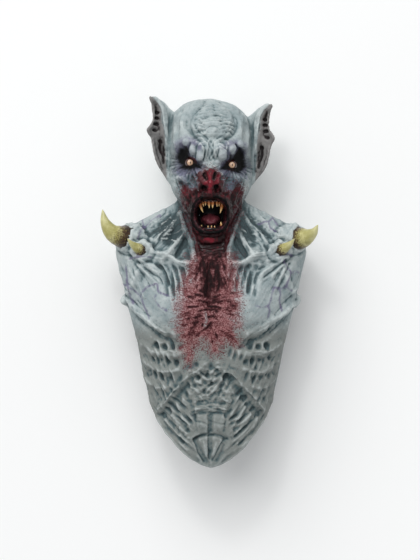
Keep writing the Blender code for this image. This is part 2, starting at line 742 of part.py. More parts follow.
def centre_on_floor(pieces, frame):
    """Moves the frame so that the mask's box is centred over the origin, with its back on the floor."""
    corners = np.concatenate([places_of(piece.data) for piece in pieces])
    low, high = corners.min(axis=0), corners.max(axis=0)
    frame.location = (-(low[0] + high[0]) / 2, -(low[1] + high[1]) / 2, -low[2])


def build():
    clear_scene()
    collection = bpy.data.collections.new("vampire_mask")
    helpers = bpy.data.collections.new("helpers")
    for group in (collection, helpers):
        bpy.context.scene.collection.children.link(group)
    looks = {
        "mask": material("painted_latex", (0.45, 0.50, 0.48), 0.55),
        "horn": material("horn_resin", (0.42, 0.38, 0.15), 0.3),
        "eye": material("eye_acrylic", (0.62, 0.44, 0.34), 0.12),
        "teeth": material("tooth_acrylic", (0.60, 0.36, 0.14), 0.25),
    }
    pieces = [skin(collection, helpers)]
    for name, mesh in glued_pieces(helpers, 0.0):
        pieces.append(new_object(name, mesh, collection))
    frame = bpy.data.objects.new("mask_frame", None)
    collection.objects.link(frame)
    centre_on_floor(pieces, frame)
    for piece in pieces:
        piece.parent = frame
        piece.data.materials.clear()
        piece.data.materials.append(looks[piece.name.split("_")[0]])
        piece.data.shade_smooth()
        piece.data.set_sharp_from_angle(angle=math.radians(40))


build()
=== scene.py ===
# %% [markdown]
# A vampire mask with a chest piece, lying on its back.
# The real one is cast from latex in a plaster mould: the sculptor's clay strokes are still on it, and
# then it is painted in thin washes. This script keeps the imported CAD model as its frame, and gives
# each piece its fine relief as mesh and its paint as a procedural material.

# %% Load the frame
import math

import bmesh
import bpy
import numpy as np
from mathutils import Matrix, Vector
from mathutils.bvhtree import BVHTree


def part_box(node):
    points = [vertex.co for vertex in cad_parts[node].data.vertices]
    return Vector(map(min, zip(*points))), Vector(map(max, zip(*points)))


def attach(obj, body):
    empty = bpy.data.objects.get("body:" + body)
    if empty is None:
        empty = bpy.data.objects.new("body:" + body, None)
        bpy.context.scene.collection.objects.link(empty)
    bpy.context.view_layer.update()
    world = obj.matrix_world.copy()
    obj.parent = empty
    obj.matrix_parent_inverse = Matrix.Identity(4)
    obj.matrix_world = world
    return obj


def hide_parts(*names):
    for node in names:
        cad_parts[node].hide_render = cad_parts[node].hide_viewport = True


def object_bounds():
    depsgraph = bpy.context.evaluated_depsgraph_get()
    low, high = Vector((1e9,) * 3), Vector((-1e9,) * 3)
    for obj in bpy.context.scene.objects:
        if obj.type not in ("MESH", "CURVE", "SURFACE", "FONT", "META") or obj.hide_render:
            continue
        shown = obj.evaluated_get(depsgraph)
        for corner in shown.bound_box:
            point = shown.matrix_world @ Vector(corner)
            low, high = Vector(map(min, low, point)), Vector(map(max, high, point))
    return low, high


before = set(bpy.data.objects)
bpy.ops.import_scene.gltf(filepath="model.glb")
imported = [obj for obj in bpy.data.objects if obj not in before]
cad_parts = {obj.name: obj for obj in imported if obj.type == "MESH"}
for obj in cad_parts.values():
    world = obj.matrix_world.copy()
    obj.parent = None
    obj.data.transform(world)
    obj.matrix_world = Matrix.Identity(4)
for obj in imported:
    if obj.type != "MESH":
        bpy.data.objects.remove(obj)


def plain(box):
    """A box's two corners as plain lists of numbers."""
    return [[float(number) for number in corner] for corner in box]


cad_box = plain(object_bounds())
print("CAD box", cad_box)

# %% [markdown]
# Everything on the mask is measured in millimetres from one place: the chest's lower tip, on the
# midline. "Across" runs to the right and "up" towards the crown, as someone sees them who looks down
# on the mask, so a stroke can be written down the way a sculptor would point at it.

# %% Where the mask lies in the frame
MM = 0.001
MIDLINE = 0.004  # the mask's midline in the frame, in metres
TIP = cad_box[0][1]  # the chest's lower tip
LEAN, LEAN_FROM, LEAN_TO = 0.066, 600, 680  # the head leans: its right, as seen, lies lower


def seen(places):
    """Places in the frame as across, up and height above the floor, in millimetres."""
    return ((places - np.array([MIDLINE, TIP, 0])) / MM).T


def in_frame(across, up, height):
    return Vector((MIDLINE + across * MM, TIP + up * MM, height * MM))


def step_up(value, low, high):
    """0 below low, 1 above high, and smooth between them."""
    t = np.clip((value - low) / (high - low), 0, 1)
    return t * t * (3 - 2 * t)


def lean_down(across, up):
    return LEAN * across * step_up(up, LEAN_FROM, LEAN_TO)


print("the chest's lower tip lies at", MIDLINE, round(TIP, 4), "in the frame")

# %% [markdown]
# A stroke is a smooth line through a few points. Its effect fades with the distance from that line,
# as a modelling tool's does. Working out distances for every vertex is slow, so each stroke looks
# only at the vertices inside its own box.

# %% Smooth lines and soft edges
ROUTE_STEPS, OUTLINE_STEPS = 4, 5  # straight steps for each point of a route or an outline
BOX_MARGIN = 6  # millimetres round a stroke's own box


def smooth_rows(rows, at):
    """The rows' other columns, read at places along the first one with a smooth curve through them."""
    rows = np.array(rows, float)
    key, values = rows[:, 0], rows[:, 1:]
    at = np.clip(np.asarray(at, float), key[0], key[-1])
    slope = np.gradient(values, key, axis=0)
    span = np.clip(np.searchsorted(key, at) - 1, 0, len(key) - 2)
    step = (key[span + 1] - key[span])[:, None]
    t = (at[:, None] - key[span][:, None]) / step
    start, end = values[span], values[span + 1]
    return (
        (2 * t**3 - 3 * t**2 + 1) * start
        + (t**3 - 2 * t**2 + t) * slope[span] * step
        + (3 * t**2 - 2 * t**3) * end
        + (t**3 - t**2) * slope[span + 1] * step
    )


def smooth_route(points, count):
    """Evenly spaced places on a smooth line through the points."""
    points = np.array(points, float)
    run = np.concatenate([[0], np.cumsum(np.linalg.norm(np.diff(points, axis=0), axis=1))])
    return smooth_rows(np.column_stack([run, points]), np.linspace(0, run[-1], count))


def gap_to(route, across, up):
    """Each place's distance to a smooth line through the route's points."""
    line = smooth_route(route, ROUTE_STEPS * len(route))
    nearest = np.full(len(across), np.inf)
    for (ax, ay), (bx, by) in zip(line[:-1], line[1:]):
        dx, dy = bx - ax, by - ay
        t = np.clip(((across - ax) * dx + (up - ay) * dy) / (dx * dx + dy * dy + 1e-9), 0, 1)
        nearest = np.minimum(nearest, np.hypot(across - ax - t * dx, up - ay - t * dy))
    return nearest


def near_line(route, reach, across, up, edge=1.5):
    """1 on the route's line and 0 at the reach. A higher edge fades sooner."""
    line = np.array(route, float)
    low = line.min(axis=0) - reach - BOX_MARGIN
    high = line.max(axis=0) + reach + BOX_MARGIN
    box = (across > low[0]) & (across < high[0]) & (up > low[1]) & (up < high[1])
    touched = np.flatnonzero(box)
    result = np.zeros(len(across))
    gap = gap_to(route, across[touched], up[touched])
    result[touched] = (1 - np.clip(gap / reach, 0, 1)) ** edge
    return result


def near_spot(centre, radii, across, up, turn=0.0):
    """A smooth hump over an ellipse: 1 in its middle and 0 at its edge."""
    angle = math.radians(turn)
    dx, dy = across - centre[0], up - centre[1]
    along = (dx * math.cos(angle) + dy * math.sin(angle)) / radii[0]
    beside = (dy * math.cos(angle) - dx * math.sin(angle)) / radii[1]
    return (1 - np.clip(np.hypot(along, beside), 0, 1) ** 2) ** 2


bend = smooth_route([(0, 0), (9, 3), (12, 12)], 7)
print("a bend through three points passes", bend[3].round(1).tolist(), "half way")

# %% [markdown]
# Clay is never even. This value noise is a block of seeded random numbers, read with smooth steps
# between them, and it gives the same result on every run.

# %% Unevenness
CELLS = 32  # the block repeats after this many numbers
LATTICE = np.random.default_rng(7).random((CELLS, CELLS, CELLS)) * 2 - 1


def uneven(places, size, offset=0.0):
    """Smooth noise from -1 to 1 whose lumps are about size millimetres wide."""
    at = places / size + offset
    whole = np.floor(at).astype(int)
    part = at - whole
    part = part * part * (3 - 2 * part)
    total = 0
    for corner in range(8):
        bits = [(corner >> axis) & 1 for axis in range(3)]
        share = 1
        for axis, bit in enumerate(bits):
            share = share * (part[:, axis] if bit else 1 - part[:, axis])
        index = [(whole[:, axis] + bit) % CELLS for axis, bit in enumerate(bits)]
        total = total + share * LATTICE[index[0], index[1], index[2]]
    return total


print("random numbers from", LATTICE.min().round(3), "to", LATTICE.max().round(3))

# %% [markdown]
# The skin will have over 100,000 vertices, and a loop in Python over them is slow. foreach_get and
# foreach_set move all of a mesh's numbers at once to and from a numpy array, so each later step is a
# sum on whole arrays. An object is needed only where a modifier works on the mesh.

# %% Meshes as arrays
def mesh_places(mesh):
    places = np.empty(len(mesh.vertices) * 3)
    mesh.vertices.foreach_get("co", places)
    return places.reshape(-1, 3)


def mesh_normals(mesh):
    normals = np.empty(len(mesh.vertices) * 3)
    mesh.vertices.foreach_get("normal", normals)
    return normals.reshape(-1, 3)


def move_to(mesh, places):
    mesh.vertices.foreach_set("co", places.ravel())
    mesh.update()


def mesh_edges(mesh):
    edges = np.empty(len(mesh.edges) * 2, int)
    mesh.edges.foreach_get("vertices", edges)
    return edges.reshape(-1, 2)


def evened(values, edges, factors):
    """Each vertex's values drawn towards its neighbours' mean, once for each factor."""
    count = len(values)
    degree = np.bincount(edges.ravel(), minlength=count)[:, None].clip(1)
    values = values.reshape(count, -1)
    for factor in factors:
        near = np.column_stack([
            np.bincount(edges[:, 0], column[edges[:, 1]], count)
            + np.bincount(edges[:, 1], column[edges[:, 0]], count)
            for column in values.T
        ])
        values = values + factor * (near / degree - values)
    return values


def applied(obj):
    """The object's mesh with its modifiers applied. The object is removed."""
    bpy.context.view_layer.update()
    graph = bpy.context.evaluated_depsgraph_get()
    mesh = bpy.data.meshes.new_from_object(obj.evaluated_get(graph))
    bpy.data.objects.remove(obj)
    return mesh


def placed(name, mesh):
    obj = bpy.data.objects.new(name, mesh)
    bpy.context.scene.collection.objects.link(obj)
    return obj


def triangles_in(mesh):
    return sum(len(face.vertices) - 2 for face in mesh.polygons)


print("the CAD skin has", triangles_in(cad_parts["mask_skin"].data), "triangles")

# %% [markdown]
# The skin starts as a copy of the CAD skin with its loose triangles merged. A voxel remesh turns it
# into small even squares, which take fine strokes well, and a smoothing that swells as much as it
# shrinks takes the facets away but leaves the size. Where the furrow below the breast nears the
# lining, the lining steps back first, or the remesh would leave a hole there.

# %% Fine clay from the CAD skin
SKIN_VOXEL = 1.9 * MM
MERGE_GAP = 1e-6  # metres
SHRINK_AND_SWELL = [0.5, -0.52]
FACET_ROUNDS, LAST_ROUNDS = 16, 3


def merged_copy(node):
    """A copy of a CAD node's mesh with its loose triangles joined."""
    bm = bmesh.new()
    bm.from_mesh(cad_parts[node].data)
    bmesh.ops.remove_doubles(bm, verts=bm.verts, dist=MERGE_GAP)
    mesh = bpy.data.meshes.new(node + "_copy")
    bm.to_mesh(mesh)
    bm.free()
    return mesh


THIN_PLACES = ((160, 325, 169), (-160, 325, 169))  # across, up and height
LINING_STEP, LINING_REACH = 3.5, (22, 50)  # how far it steps back, and where the step fades out


def lining_back(mesh):
    """Steps the lining back from the thin places."""
    places, normals = mesh_places(mesh), mesh_normals(mesh)
    for place in THIN_PLACES:
        gap = np.linalg.norm(np.column_stack(seen(places)) - place, axis=1)
        inner = normals[:, 0] * place[0] < 0
        share = inner * (1 - step_up(gap, *LINING_REACH))
        places = places + normals * (share * LINING_STEP * MM)[:, None]
    move_to(mesh, places)


skin_copy = merged_copy("mask_skin")
lining_back(skin_copy)
blank = placed("blank", skin_copy)
remesh = blank.modifiers.new("Clay", "REMESH")
remesh.mode = "VOXEL"
remesh.voxel_size = SKIN_VOXEL
clay = applied(blank)
edges = mesh_edges(clay)
move_to(clay, evened(mesh_places(clay), edges, SHRINK_AND_SWELL * FACET_ROUNDS))
print("clay", len(clay.vertices), "vertices")

# %% [markdown]
# Most of the clay's triangles should be where the strokes are: on the front. The lining and the back
# are thinned first, the front keeps its squares, and the face is divided once more.

# %% Fine on the front, coarse behind
BACK_SHARE = 0.04  # how much of the back's and the lining's triangles is kept
HEAD_FROM = 585  # the head's back begins this far up
HEAD_EDGE, CHEST_EDGE, EDGE_WIDTH = 70, 88, 12  # the height at which the front begins, and how softly
FACE_FROM, FACE_HEIGHT, FACE_HALF = 500, 150, 96  # the face lies above these, and this near the midline
LEAST_WEIGHT, LEAST_RISE = 0.02, 0.05  # below them a vertex isn't on the front, or faces sideways


def front_weight(places, normals):
    """1 on the outside of the front and 0 on the lining and the back."""
    _, up, height = seen(places)
    edge = np.where(up > HEAD_FROM, HEAD_EDGE, CHEST_EDGE)
    return step_up(normals[:, 2], -0.15, 0.1) * step_up(height, edge, edge + EDGE_WIDTH)


def thinned(mesh, target, only=None):
    """The mesh with about target triangles, taken from the vertices in only if that is given."""
    obj = placed("thin", mesh)
    thin = obj.modifiers.new("Thin", "DECIMATE")
    thin.ratio = min(target / triangles_in(mesh), 1)
    if only is not None:
        group = obj.vertex_groups.new(name="thin")
        group.add(np.flatnonzero(only).tolist(), 1.0, "REPLACE")
        thin.vertex_group = "thin"
    return applied(obj)


def in_face(place):
    across, up, height = (place - Vector((MIDLINE, TIP, 0))) / MM
    return up > FACE_FROM and height > FACE_HEIGHT and abs(across) < FACE_HALF


behind = front_weight(mesh_places(clay), mesh_normals(clay)) < LEAST_WEIGHT
corners = np.array([face.vertices[0] for face in clay.polygons])
back_triangles = 2 * int(behind[corners].sum())
clay = thinned(clay, triangles_in(clay) - (1 - BACK_SHARE) * back_triangles, only=behind)

bm = bmesh.new()
bm.from_mesh(clay)
bm.normal_update()
fine = []
for edge in bm.edges:
    middle = (edge.verts[0].co + edge.verts[1].co) / 2
    if in_face(middle) and min(v.normal.z for v in edge.verts) > LEAST_RISE:
        fine.append(edge)
bmesh.ops.subdivide_edges(bm, edges=fine, cuts=1, use_grid_fill=True)
bmesh.ops.triangulate(bm, faces=[face for face in bm.faces if len(face.verts) > 4])
bm.to_mesh(clay)
bm.free()
edges = mesh_edges(clay)
places = evened(mesh_places(clay), edges, SHRINK_AND_SWELL * LAST_ROUNDS)
move_to(clay, places)
print("sculpting mesh", len(clay.vertices), "vertices,", triangles_in(clay), "triangles")

# %% [markdown]
# From here on the relief is one number for each vertex: how far it moves out of the skin, in
# millimetres. Strokes add to it, and the mesh moves once at the end. Positive strokes are ridges and
# negative ones are furrows. Every stroke is also kept as a guide for the threads of the skin.

# %% The relief and the sculptor's hand
across, up, height = seen(places)
level = up + lean_down(across, up)  # the head's own height, as if it didn't lean
side = np.abs(across)
normals = mesh_normals(clay)
front = front_weight(places, normals)
points = np.column_stack([across, up, height])
relief = np.zeros(len(places))
# The painted shade and painted highlight along the strokes follow these strokes too.
drawn = np.zeros(len(places))  # the strokes alone: the painter's brush follows them
muscle = np.zeros(len(places))  # how far threads of muscle stand out, in millimetres
chest = front * (1 - step_up(up, 560, 585))
on_ear = front * step_up(side, 92, 98) * step_up(up, 606, 626)
on_face = front * step_up(height, 120, 150) * step_up(up, 488, 500) * (1 - on_ear)
GUIDES = []

WOBBLE, WOBBLE_SIZE = 1.7, 12  # how far the hand strays from a stroke's line, and over what length
PRESS, PRESS_CHANGE, PRESS_SIZE, PRESS_LIMITS = 0.9, 0.55, 17, (0.3, 1.4)
stray = 0.45 + 0.55 * chest  # the face is done with more care than the chest
loose_across = across + WOBBLE * uneven(points, WOBBLE_SIZE, 90) * stray
loose_up = up + WOBBLE * uneven(points, WOBBLE_SIZE, 95) * stray
press = np.clip(PRESS + PRESS_CHANGE * uneven(points, PRESS_SIZE, 97), *PRESS_LIMITS)
print("the front has", int((front > 0.5).sum()), "of", len(places), "vertices")

# %% [markdown]
# A sculptor needs few tools: one that draws a line, one that pushes a lump or a pit, and a comb for
# threads. Each is a function that adds to the relief, as far as the field "where" lets it. Sculpt
# mode has such brushes too, but a script can't hold the mouse, and a list of strokes is easy to mend.

# %% The sculpting tools
RAY_LENGTH = 26  # millimetres


def strokes(lines, where, mirrored=False):
    """Adds ridges and furrows. Each is its reach, its height and its route."""
    for reach, rise, route in lines:
        for ends in zip(route[:-1], route[1:]):
            GUIDES.append(ends)
            if mirrored:
                GUIDES.append([(-a, b) for a, b in ends])
        if mirrored:
            line = near_line(route, reach, np.abs(loose_across), loose_up + level - up)
        else:
            line = near_line(route, reach, loose_across, loose_up)
        relief[:] += where * rise * press * line
        drawn[:] += where * rise * line


def spots(places_and_sizes, where):
    """Adds lumps and pits. Each is its place, its radii, its height and its turn."""
    for centre, radii, rise, turn in places_and_sizes:
        relief[:] += where * rise * press * near_spot(centre, radii, loose_across, loose_up, turn)


def threads(where, rise):
    """Says where threads of muscle or folded skin show. They are combed in after the strokes."""
    muscle[:] = np.maximum(muscle, where * rise)


def rays(centre, count, seed):
    """Noise from -1 to 1 in rays round a centre, with about 6 times count of them in the circle."""
    turn = np.arctan2(up - centre[1], across - centre[0])
    out = np.hypot(up - centre[1], across - centre[0])
    circle = [np.cos(turn) * count, np.sin(turn) * count, out / RAY_LENGTH]
    return uneven(np.column_stack(circle), 1, seed)


def band(value, middle, half):
    """1 where the value is the middle one, and 0 from half away on."""
    return np.clip(1 - np.abs(value - middle) / half, 0, 1)


def inside_gap(outline):
    """How far each vertex lies inside a closed outline (+) or outside it (-), in millimetres."""
    loop = smooth_route(outline + outline[:1], OUTLINE_STEPS * len(outline))
    inside = np.zeros(len(across), bool)
    for (ax, ay), (bx, by) in zip(loop[:-1], loop[1:]):
        crosses = (ay > up) != (by > up)
        inside ^= crosses & (across < ax + (up - ay) / (by - ay + 1e-9) * (bx - ax))
    gap = gap_to(outline + outline[:1], across, up)
    return np.where(inside, gap, -gap)


def measured(part):
    print(part, round(float(relief.min()), 1), "to", round(float(relief.max()), 1), "mm")

# %% [markdown]
# The forehead carries a raised plate of wrinkled skin with a round knob at its lower end. Furrows
# round its sides, creases across it and folds on the temples are all strokes. Noise alone would
# wrinkle the skin, but only strokes put a fold where the sculptor cut it.

# %% Forehead and temples
PLATE = [
    (10, -4.6, [(-13, 802), (-22, 791), (-35, 776), (-46, 760), (-49, 746), (-42, 729), (-28, 715)]),
    (10, -4.6, [(18, 804), (33, 791), (45, 779), (55, 760), (57, 746), (50, 728), (30, 714)]),
    (11, 2.4, [(-26, 806), (-46, 786), (-60, 762), (-62, 742), (-54, 722)]),
    (11, 2.4, [(32, 808), (50, 794), (65, 772), (71, 750), (64, 728)]),
    (6, -2.0, [(7, 796), (6, 788), (8, 780)]),
    (5, -2.6, [(-13, 735), (-6, 741), (6, 743), (14, 740), (19, 735)]),
    (6, -2.4, [(-36, 744), (-26, 731), (-14, 722), (-6, 716)]),
    (6, -2.4, [(46, 745), (36, 731), (26, 722), (14, 716)]),
]
BROW_CREASES = [
    (-30, 22, 786), (-24, 34, 778), (-33, 40, 770), (-20, 20, 764), (-36, -4, 758), (-20, 26, 758),
    (-26, 36, 751), (-40, -16, 748), (22, 52, 746), (-34, -14, 740), (24, 50, 738), (26, 46, 729),
    (-32, -16, 731), (-16, 14, 795), (-12, 40, 763), (-38, -22, 754), (20, 48, 753),
]


def creases_across(rows, seed, sink, reach=4.2, sag=3):
    """Short uneven creases that run across: each is its two ends and its height."""
    shake = np.random.default_rng(seed)
    lines = []
    for left, right, at in rows:
        stops = np.linspace(left, right, 5)
        lift = sag * np.sin(np.linspace(0, math.pi, 5)) + shake.normal(0, 1.1, 5)
        lines.append((reach, sink, list(zip(stops, at + lift))))
    return lines


PLATE_CENTRE, PLATE_RADII, PLATE_RISE, PLATE_REACH = (4, 762), (54, 46), 2.6, (70, 60)
KNOBS = [
    ((5.7, 729), (12, 11), 5.0, 0), ((-16, 727), (9, 7), 2.4, 20), ((27, 727), (9, 7), 2.6, -20),
    ((34, 741), (9, 6), 2.0, 30), ((-27, 741), (9, 6), 1.8, -30), ((42, 753), (8, 6), 1.8, 20),
]
spots([(PLATE_CENTRE, PLATE_RADII, PLATE_RISE, 0)], on_face)
strokes(PLATE, on_face)
strokes(creases_across(BROW_CREASES, 3, -2.6, reach=4.8), on_face)
spots(KNOBS, on_face)
near_plate = on_face * near_spot(PLATE_CENTRE, PLATE_REACH, across, up)
threads(near_plate, 1.2)
relief += near_plate * 1.6 * uneven(points, 11, 3)
TEMPLES = [
    (8, -2.8, [(76, 788), (84, 768), (88, 745), (87, 715), (84, 690)]),
    (7, 2.4, [(69, 790), (77, 768), (81, 745), (80, 715), (77, 695)]),
    (6, -2.6, [(64, 778), (71, 756), (73, 732), (71, 712)]),
    (6, -1.8, [(58, 800), (66, 784), (72, 768)]),
    (6, -2.0, [(92, 762), (94, 740), (93, 712), (90, 680)]),
    (6, -2.2, [(84, 676), (82, 652), (86, 634)]),
]
strokes(TEMPLES, on_face, mirrored=True)
threads(on_face * step_up(side, 56, 72) * step_up(level, 660, 700), 1.2)
scalp = on_face * step_up(level, 700, 740)
relief += scalp * (0.7 * uneven(points, 9, 1) + 0.45 * uneven(points, 4.5, 2))
measured("forehead")

# %% [markdown]
# The brows are heavy soft lobes that hang over the eyes, with curling ridges on them and wrinkles
# between them. The eyes lie in sockets sunk below the lobes, each in a ring of lid. A lobe is a round
# hump, a socket is the inside of an outline, and the crow's feet are strokes that a loop fans out.

# %% Brows and eyes
LOBES = [
    ((-25, 679), (11.5, 16), 7.0, 6), ((-39.6, 692), (10, 16), 7.0, 10), ((-54, 709), (12, 11), 4.6, 20),
    ((25.5, 681), (12.5, 17), 7.0, -6), ((46, 694), (9.5, 16), 7.0, -10), ((64, 706), (11, 11), 4.6, -20),
    ((-13, 662), (7, 6), 3.4, 0), ((12.5, 664), (6.5, 6), 3.4, 0),
]
CURLS = [
    (5.5, 3.0, [(-31, 709), (-21, 704), (-16, 690), (-21, 672)]),
    (5, 2.8, [(-20, 716), (-11, 706), (-7, 692), (-11, 677)]),
    (4.5, 2.4, [(-37, 711), (-28, 717), (-16, 714)]),
    (5.5, 3.0, [(9, 708), (18, 714), (29, 713), (38, 704), (35, 694)]),
    (4.5, 2.6, [(12, 700), (20, 703), (27, 697)]),
    (5, 2.8, [(8, 706), (7, 690), (11, 676)]),
    (4.5, 2.0, [(15, 708), (14, 694), (16, 680)]),
    (4, -3.0, [(-28, 706), (-32, 696), (-33, 684), (-33, 674)]),
    (4, -3.0, [(37, 699), (37, 688), (36, 676)]),
    (4, -2.8, [(-45, 706), (-49, 697)]),
    (4, -2.8, [(54, 703), (57, 694)]),
    (3.6, -2.6, [(-25, 709), (-13, 696), (-14, 680), (-17, 670)]),
    (3.6, 2.6, [(-3, 714), (-8, 702), (-1, 689), (-6, 674)]),
    (3.6, 2.6, [(6, 712), (1, 700), (7, 686), (1, 672)]),
    (3.6, 2.4, [(-26, 701), (-15, 707), (-5, 701)]),
    (3.6, 2.4, [(10, 689), (19, 696), (29, 689)]),
    (3.6, 2.4, [(-13, 668), (-3, 661), (7, 668)]),
    (3.6, -1.4, [(-9, 710), (-3, 697), (-7, 684), (-1, 668)]),
    (3.6, -1.4, [(2, 708), (6, 694), (2, 682), (8, 668)]),
    (3.6, -2.4, [(14, 703), (17, 690), (14, 676)]),
    (3.6, -2.0, [(20, 708), (28, 706), (32, 700)]),
    (3.6, -2.0, [(-22, 699), (-12, 700)]),
    (4, -2.0, [(-14, 655), (-4, 652), (8, 652), (16, 656)]),
]
EYES = [(-45.4, 665.0), (46.0, 659.0)]
LID_WIDTH, LID_RADIUS, LID_HALF, LID_RISE = 1.15, 10.5, 3.5, 2.6  # the ring of lid round each eye
SOCKET_DEPTH = 3.2
CROWS_FEET, FIRST_FOOT, FOOT_STEP = 11, -112, 13  # how many, and their angles in degrees
SOCKETS = [
    [(-67, 696), (-77, 680), (-76, 662), (-62, 650), (-39, 648), (-20, 656), (-31, 668), (-46, 681),
     (-49, 696), (-58, 702)],
    [(72, 691), (79, 677), (75, 655), (58, 642), (38, 645), (19, 652), (35, 668), (45, 679),
     (54, 689), (62, 697)],
]
def out_of_eye(eye_across, eye_up):
    """How far each vertex is from an eye's middle, in rounds as wide as the lid."""
    return np.hypot((across - eye_across) / LID_WIDTH, up - eye_up)


sockets = [step_up(inside_gap(outline), -3, 7) for outline in SOCKETS]
strokes(CURLS, on_face)
for socket, (eye_across, eye_up) in zip(sockets, EYES):
    way = math.copysign(1, eye_across)
    out = out_of_eye(eye_across, eye_up)
    relief -= on_face * SOCKET_DEPTH * socket * step_up(out, 8, 12)
    relief += on_face * LID_RISE * band(out, LID_RADIUS, LID_HALF)
    for foot in range(CROWS_FEET):  # crow's feet fan out below and beside the eye
        angle = math.radians(FIRST_FOOT + FOOT_STEP * foot)
        ray = [
            (eye_across + way * r * math.cos(angle) * 1.2, eye_up + r * math.sin(angle) * 0.95)
            for r in (19, 26, 34 + 3 * (foot % 3))
        ]
        strokes([(3.4, -2.0, ray)], on_face)
spots(LOBES, on_face)
relief += on_face * step_up(level, 630, 700) * 0.5 * uneven(points, 5, 9)
threads(on_face * near_spot((0, 692), (44, 44), across, up), 1.3)
measured("brows")

# %% [markdown]
# The muzzle is a bat's: two slits high on the nose, two round nostrils below, folds running from the
# cheeks into the corners of the mouth, and a lip that is pulled back in small wrinkles. The mouth is
# a rounded square, so one distance from its middle places the lip's edge, fold and furrow all round.

# %% Muzzle, lips and throat
MUZZLE = [
    (5, -5.4, [(-16, 641), (-13, 634), (-9, 627)]),
    (5, -5.4, [(10, 641), (8, 634), (5, 627)]),
    (6, -6.5, [(-18, 609), (-14, 607)]),
    (6, -6.5, [(9, 610), (13, 608)]),
    (6, 2.6, [(-3, 646), (-2.5, 622), (-2, 598)]),
    (6, 3.2, [(-24, 640), (-22, 620), (-24, 602)]),
    (6, 3.2, [(19, 640), (18, 620), (21, 602)]),
    (5, -3.4, [(-32, 636), (-26, 624), (-20, 614)]),
    (5, -3.4, [(27, 634), (22, 624), (17, 615)]),
    (5, -3.0, [(-40, 632), (-34, 616), (-30, 598)]),
    (5, -3.0, [(36, 630), (31, 614), (28, 598)]),
    (8, -4.6, [(62, 622), (54, 606), (47, 592), (44, 578)]),
    (8, -4.0, [(-66, 622), (-57, 606), (-50, 592), (-46, 578)]),
    (8, 3.4, [(56, 626), (64, 618), (62, 606)]),
    (8, 3.4, [(-72, 634), (-62, 628), (-52, 622)]),
    (5, -2.6, [(70, 610), (62, 596), (54, 580)]),
    (5, -2.6, [(-72, 612), (-64, 596), (-56, 578)]),
    (6, -2.8, [(78, 640), (72, 620), (66, 600), (58, 574)]),
    (6, -2.8, [(-80, 640), (-76, 618), (-70, 598), (-60, 572)]),
]
THROAT = [
    (7, -4.2, [(-57, 552), (-47, 524), (-36, 496), (-29, 470), (-24, 448)]),
    (7, -4.2, [(56, 552), (46, 522), (36, 496), (29, 472), (27, 448)]),
    (8, 3.0, [(-70, 560), (-58, 522), (-47, 488), (-36, 452)]),
    (8, 3.0, [(72, 578), (60, 540), (47, 500), (37, 452)]),
    (5, 2.0, [(-30, 488), (-26, 470), (-22, 452)]),
    (5, 2.0, [(30, 490), (26, 470), (23, 452)]),
]
strokes(MUZZLE, on_face)
neck_front = front * step_up(height, 140, 170) * step_up(up, 430, 445)
strokes(THROAT, neck_front)
MOUTH_CENTRE, MOUTH_HALF = (-1.5, 551), (38, 37.5)
SQUARENESS = 2.8  # 2 would make the mouth an ellipse
LIP_FOLD, LIP_EDGE, LIP_FURROW = (1.2, 0.26), (1.04, 0.1), (1.34, 0.12)  # 1 is the mouth's own edge
lip_across = np.abs(across - MOUTH_CENTRE[0]) / MOUTH_HALF[0]
lip_up = np.abs(up - MOUTH_CENTRE[1]) / MOUTH_HALF[1]
lip_out = (lip_across**SQUARENESS + lip_up**SQUARENESS) ** (1 / SQUARENESS)
lip_band = on_face * band(lip_out, *LIP_FOLD)
relief += lip_band * (1.6 * rays(MOUTH_CENTRE, 7, 21) + 0.9 * uneven(points, 4, 22))
relief += on_face * 2.6 * band(lip_out, *LIP_EDGE)
relief -= on_face * 2.0 * band(lip_out, *LIP_FURROW)
THROAT_RINGS = [
    (-24, 24, 488), (-24, 24, 482), (-23, 24, 475), (-22, 23, 468), (-20, 22, 461), (-18, 20, 454),
]
strokes(creases_across(THROAT_RINGS, 5, -2.6, reach=4.4, sag=-4), neck_front)
TONGUE = [((-12, 542), (14, 14), 4.5, 0), ((11, 541), (13, 14), 4.5, 0), ((-1, 531), (20, 7), 2.0, 0)]
spots(TONGUE, front * (1 - step_up(lip_out, 0.8, 0.95)))
cheeks = on_face * (1 - step_up(level, 640, 660)) * step_up(lip_out, 1.1, 1.3)
relief += cheeks * (0.9 * uneven(points, 6, 23) + 0.8 * uneven(points, 3.2, 24))
threads(cheeks, 1.2)
measured("muzzle")

# %% [markdown]
# Each ear is a pointed leaf. A broad smooth rim runs up its front; behind it lies a dark trough with
# a ladder of small pits, a thorn on the outer edge, and the ear's own hollow below. Both ears are
# alike, so their strokes are drawn once, on the distance from the midline.

# %% Ears
EAR_LINES = [
    (7, 3.0, [(126, 806), (109, 790), (99, 766), (97, 742), (95, 720)]),
    (6, -4.5, [(130, 806), (117, 790), (109, 768), (108, 748), (102, 732), (99, 718)]),
    (5, 2.6, [(135, 806), (129, 786), (126, 764), (129, 746), (138, 731)]),
    (5, 2.2, [(138, 728), (128, 706), (124, 684), (112, 654)]),
    (6, -4.0, [(112, 708), (114, 692), (106, 678), (104, 662)]),
    (4, 2.6, [(109, 702), (108, 686), (101, 668)]),
    (4, -2.2, [(121, 704), (120, 684), (114, 666), (105, 648)]),
    (4, 1.8, [(117, 704), (116, 686), (110, 668)]),
    (4, -1.8, [(97, 700), (97, 676), (98, 652)]),
]
EAR_PITS = ((119, 770), (120.5, 758), (122, 745), (123.5, 731))
RUNG_BELOW = 6.5  # how far below its pit each rung of the ladder lies
strokes(EAR_LINES, on_ear, mirrored=True)
for pit_side, pit_level in EAR_PITS:
    pit = near_spot((pit_side, pit_level), (8, 5.5), side, level)
    rung = near_spot((pit_side, pit_level - RUNG_BELOW), (8, 3), side, level)
    relief += on_ear * (1.6 * rung - 3.4 * pit)
relief += on_ear * (0.8 * uneven(points, 6, 31) + 0.5 * uneven(points, 3, 32))
measured("ears")

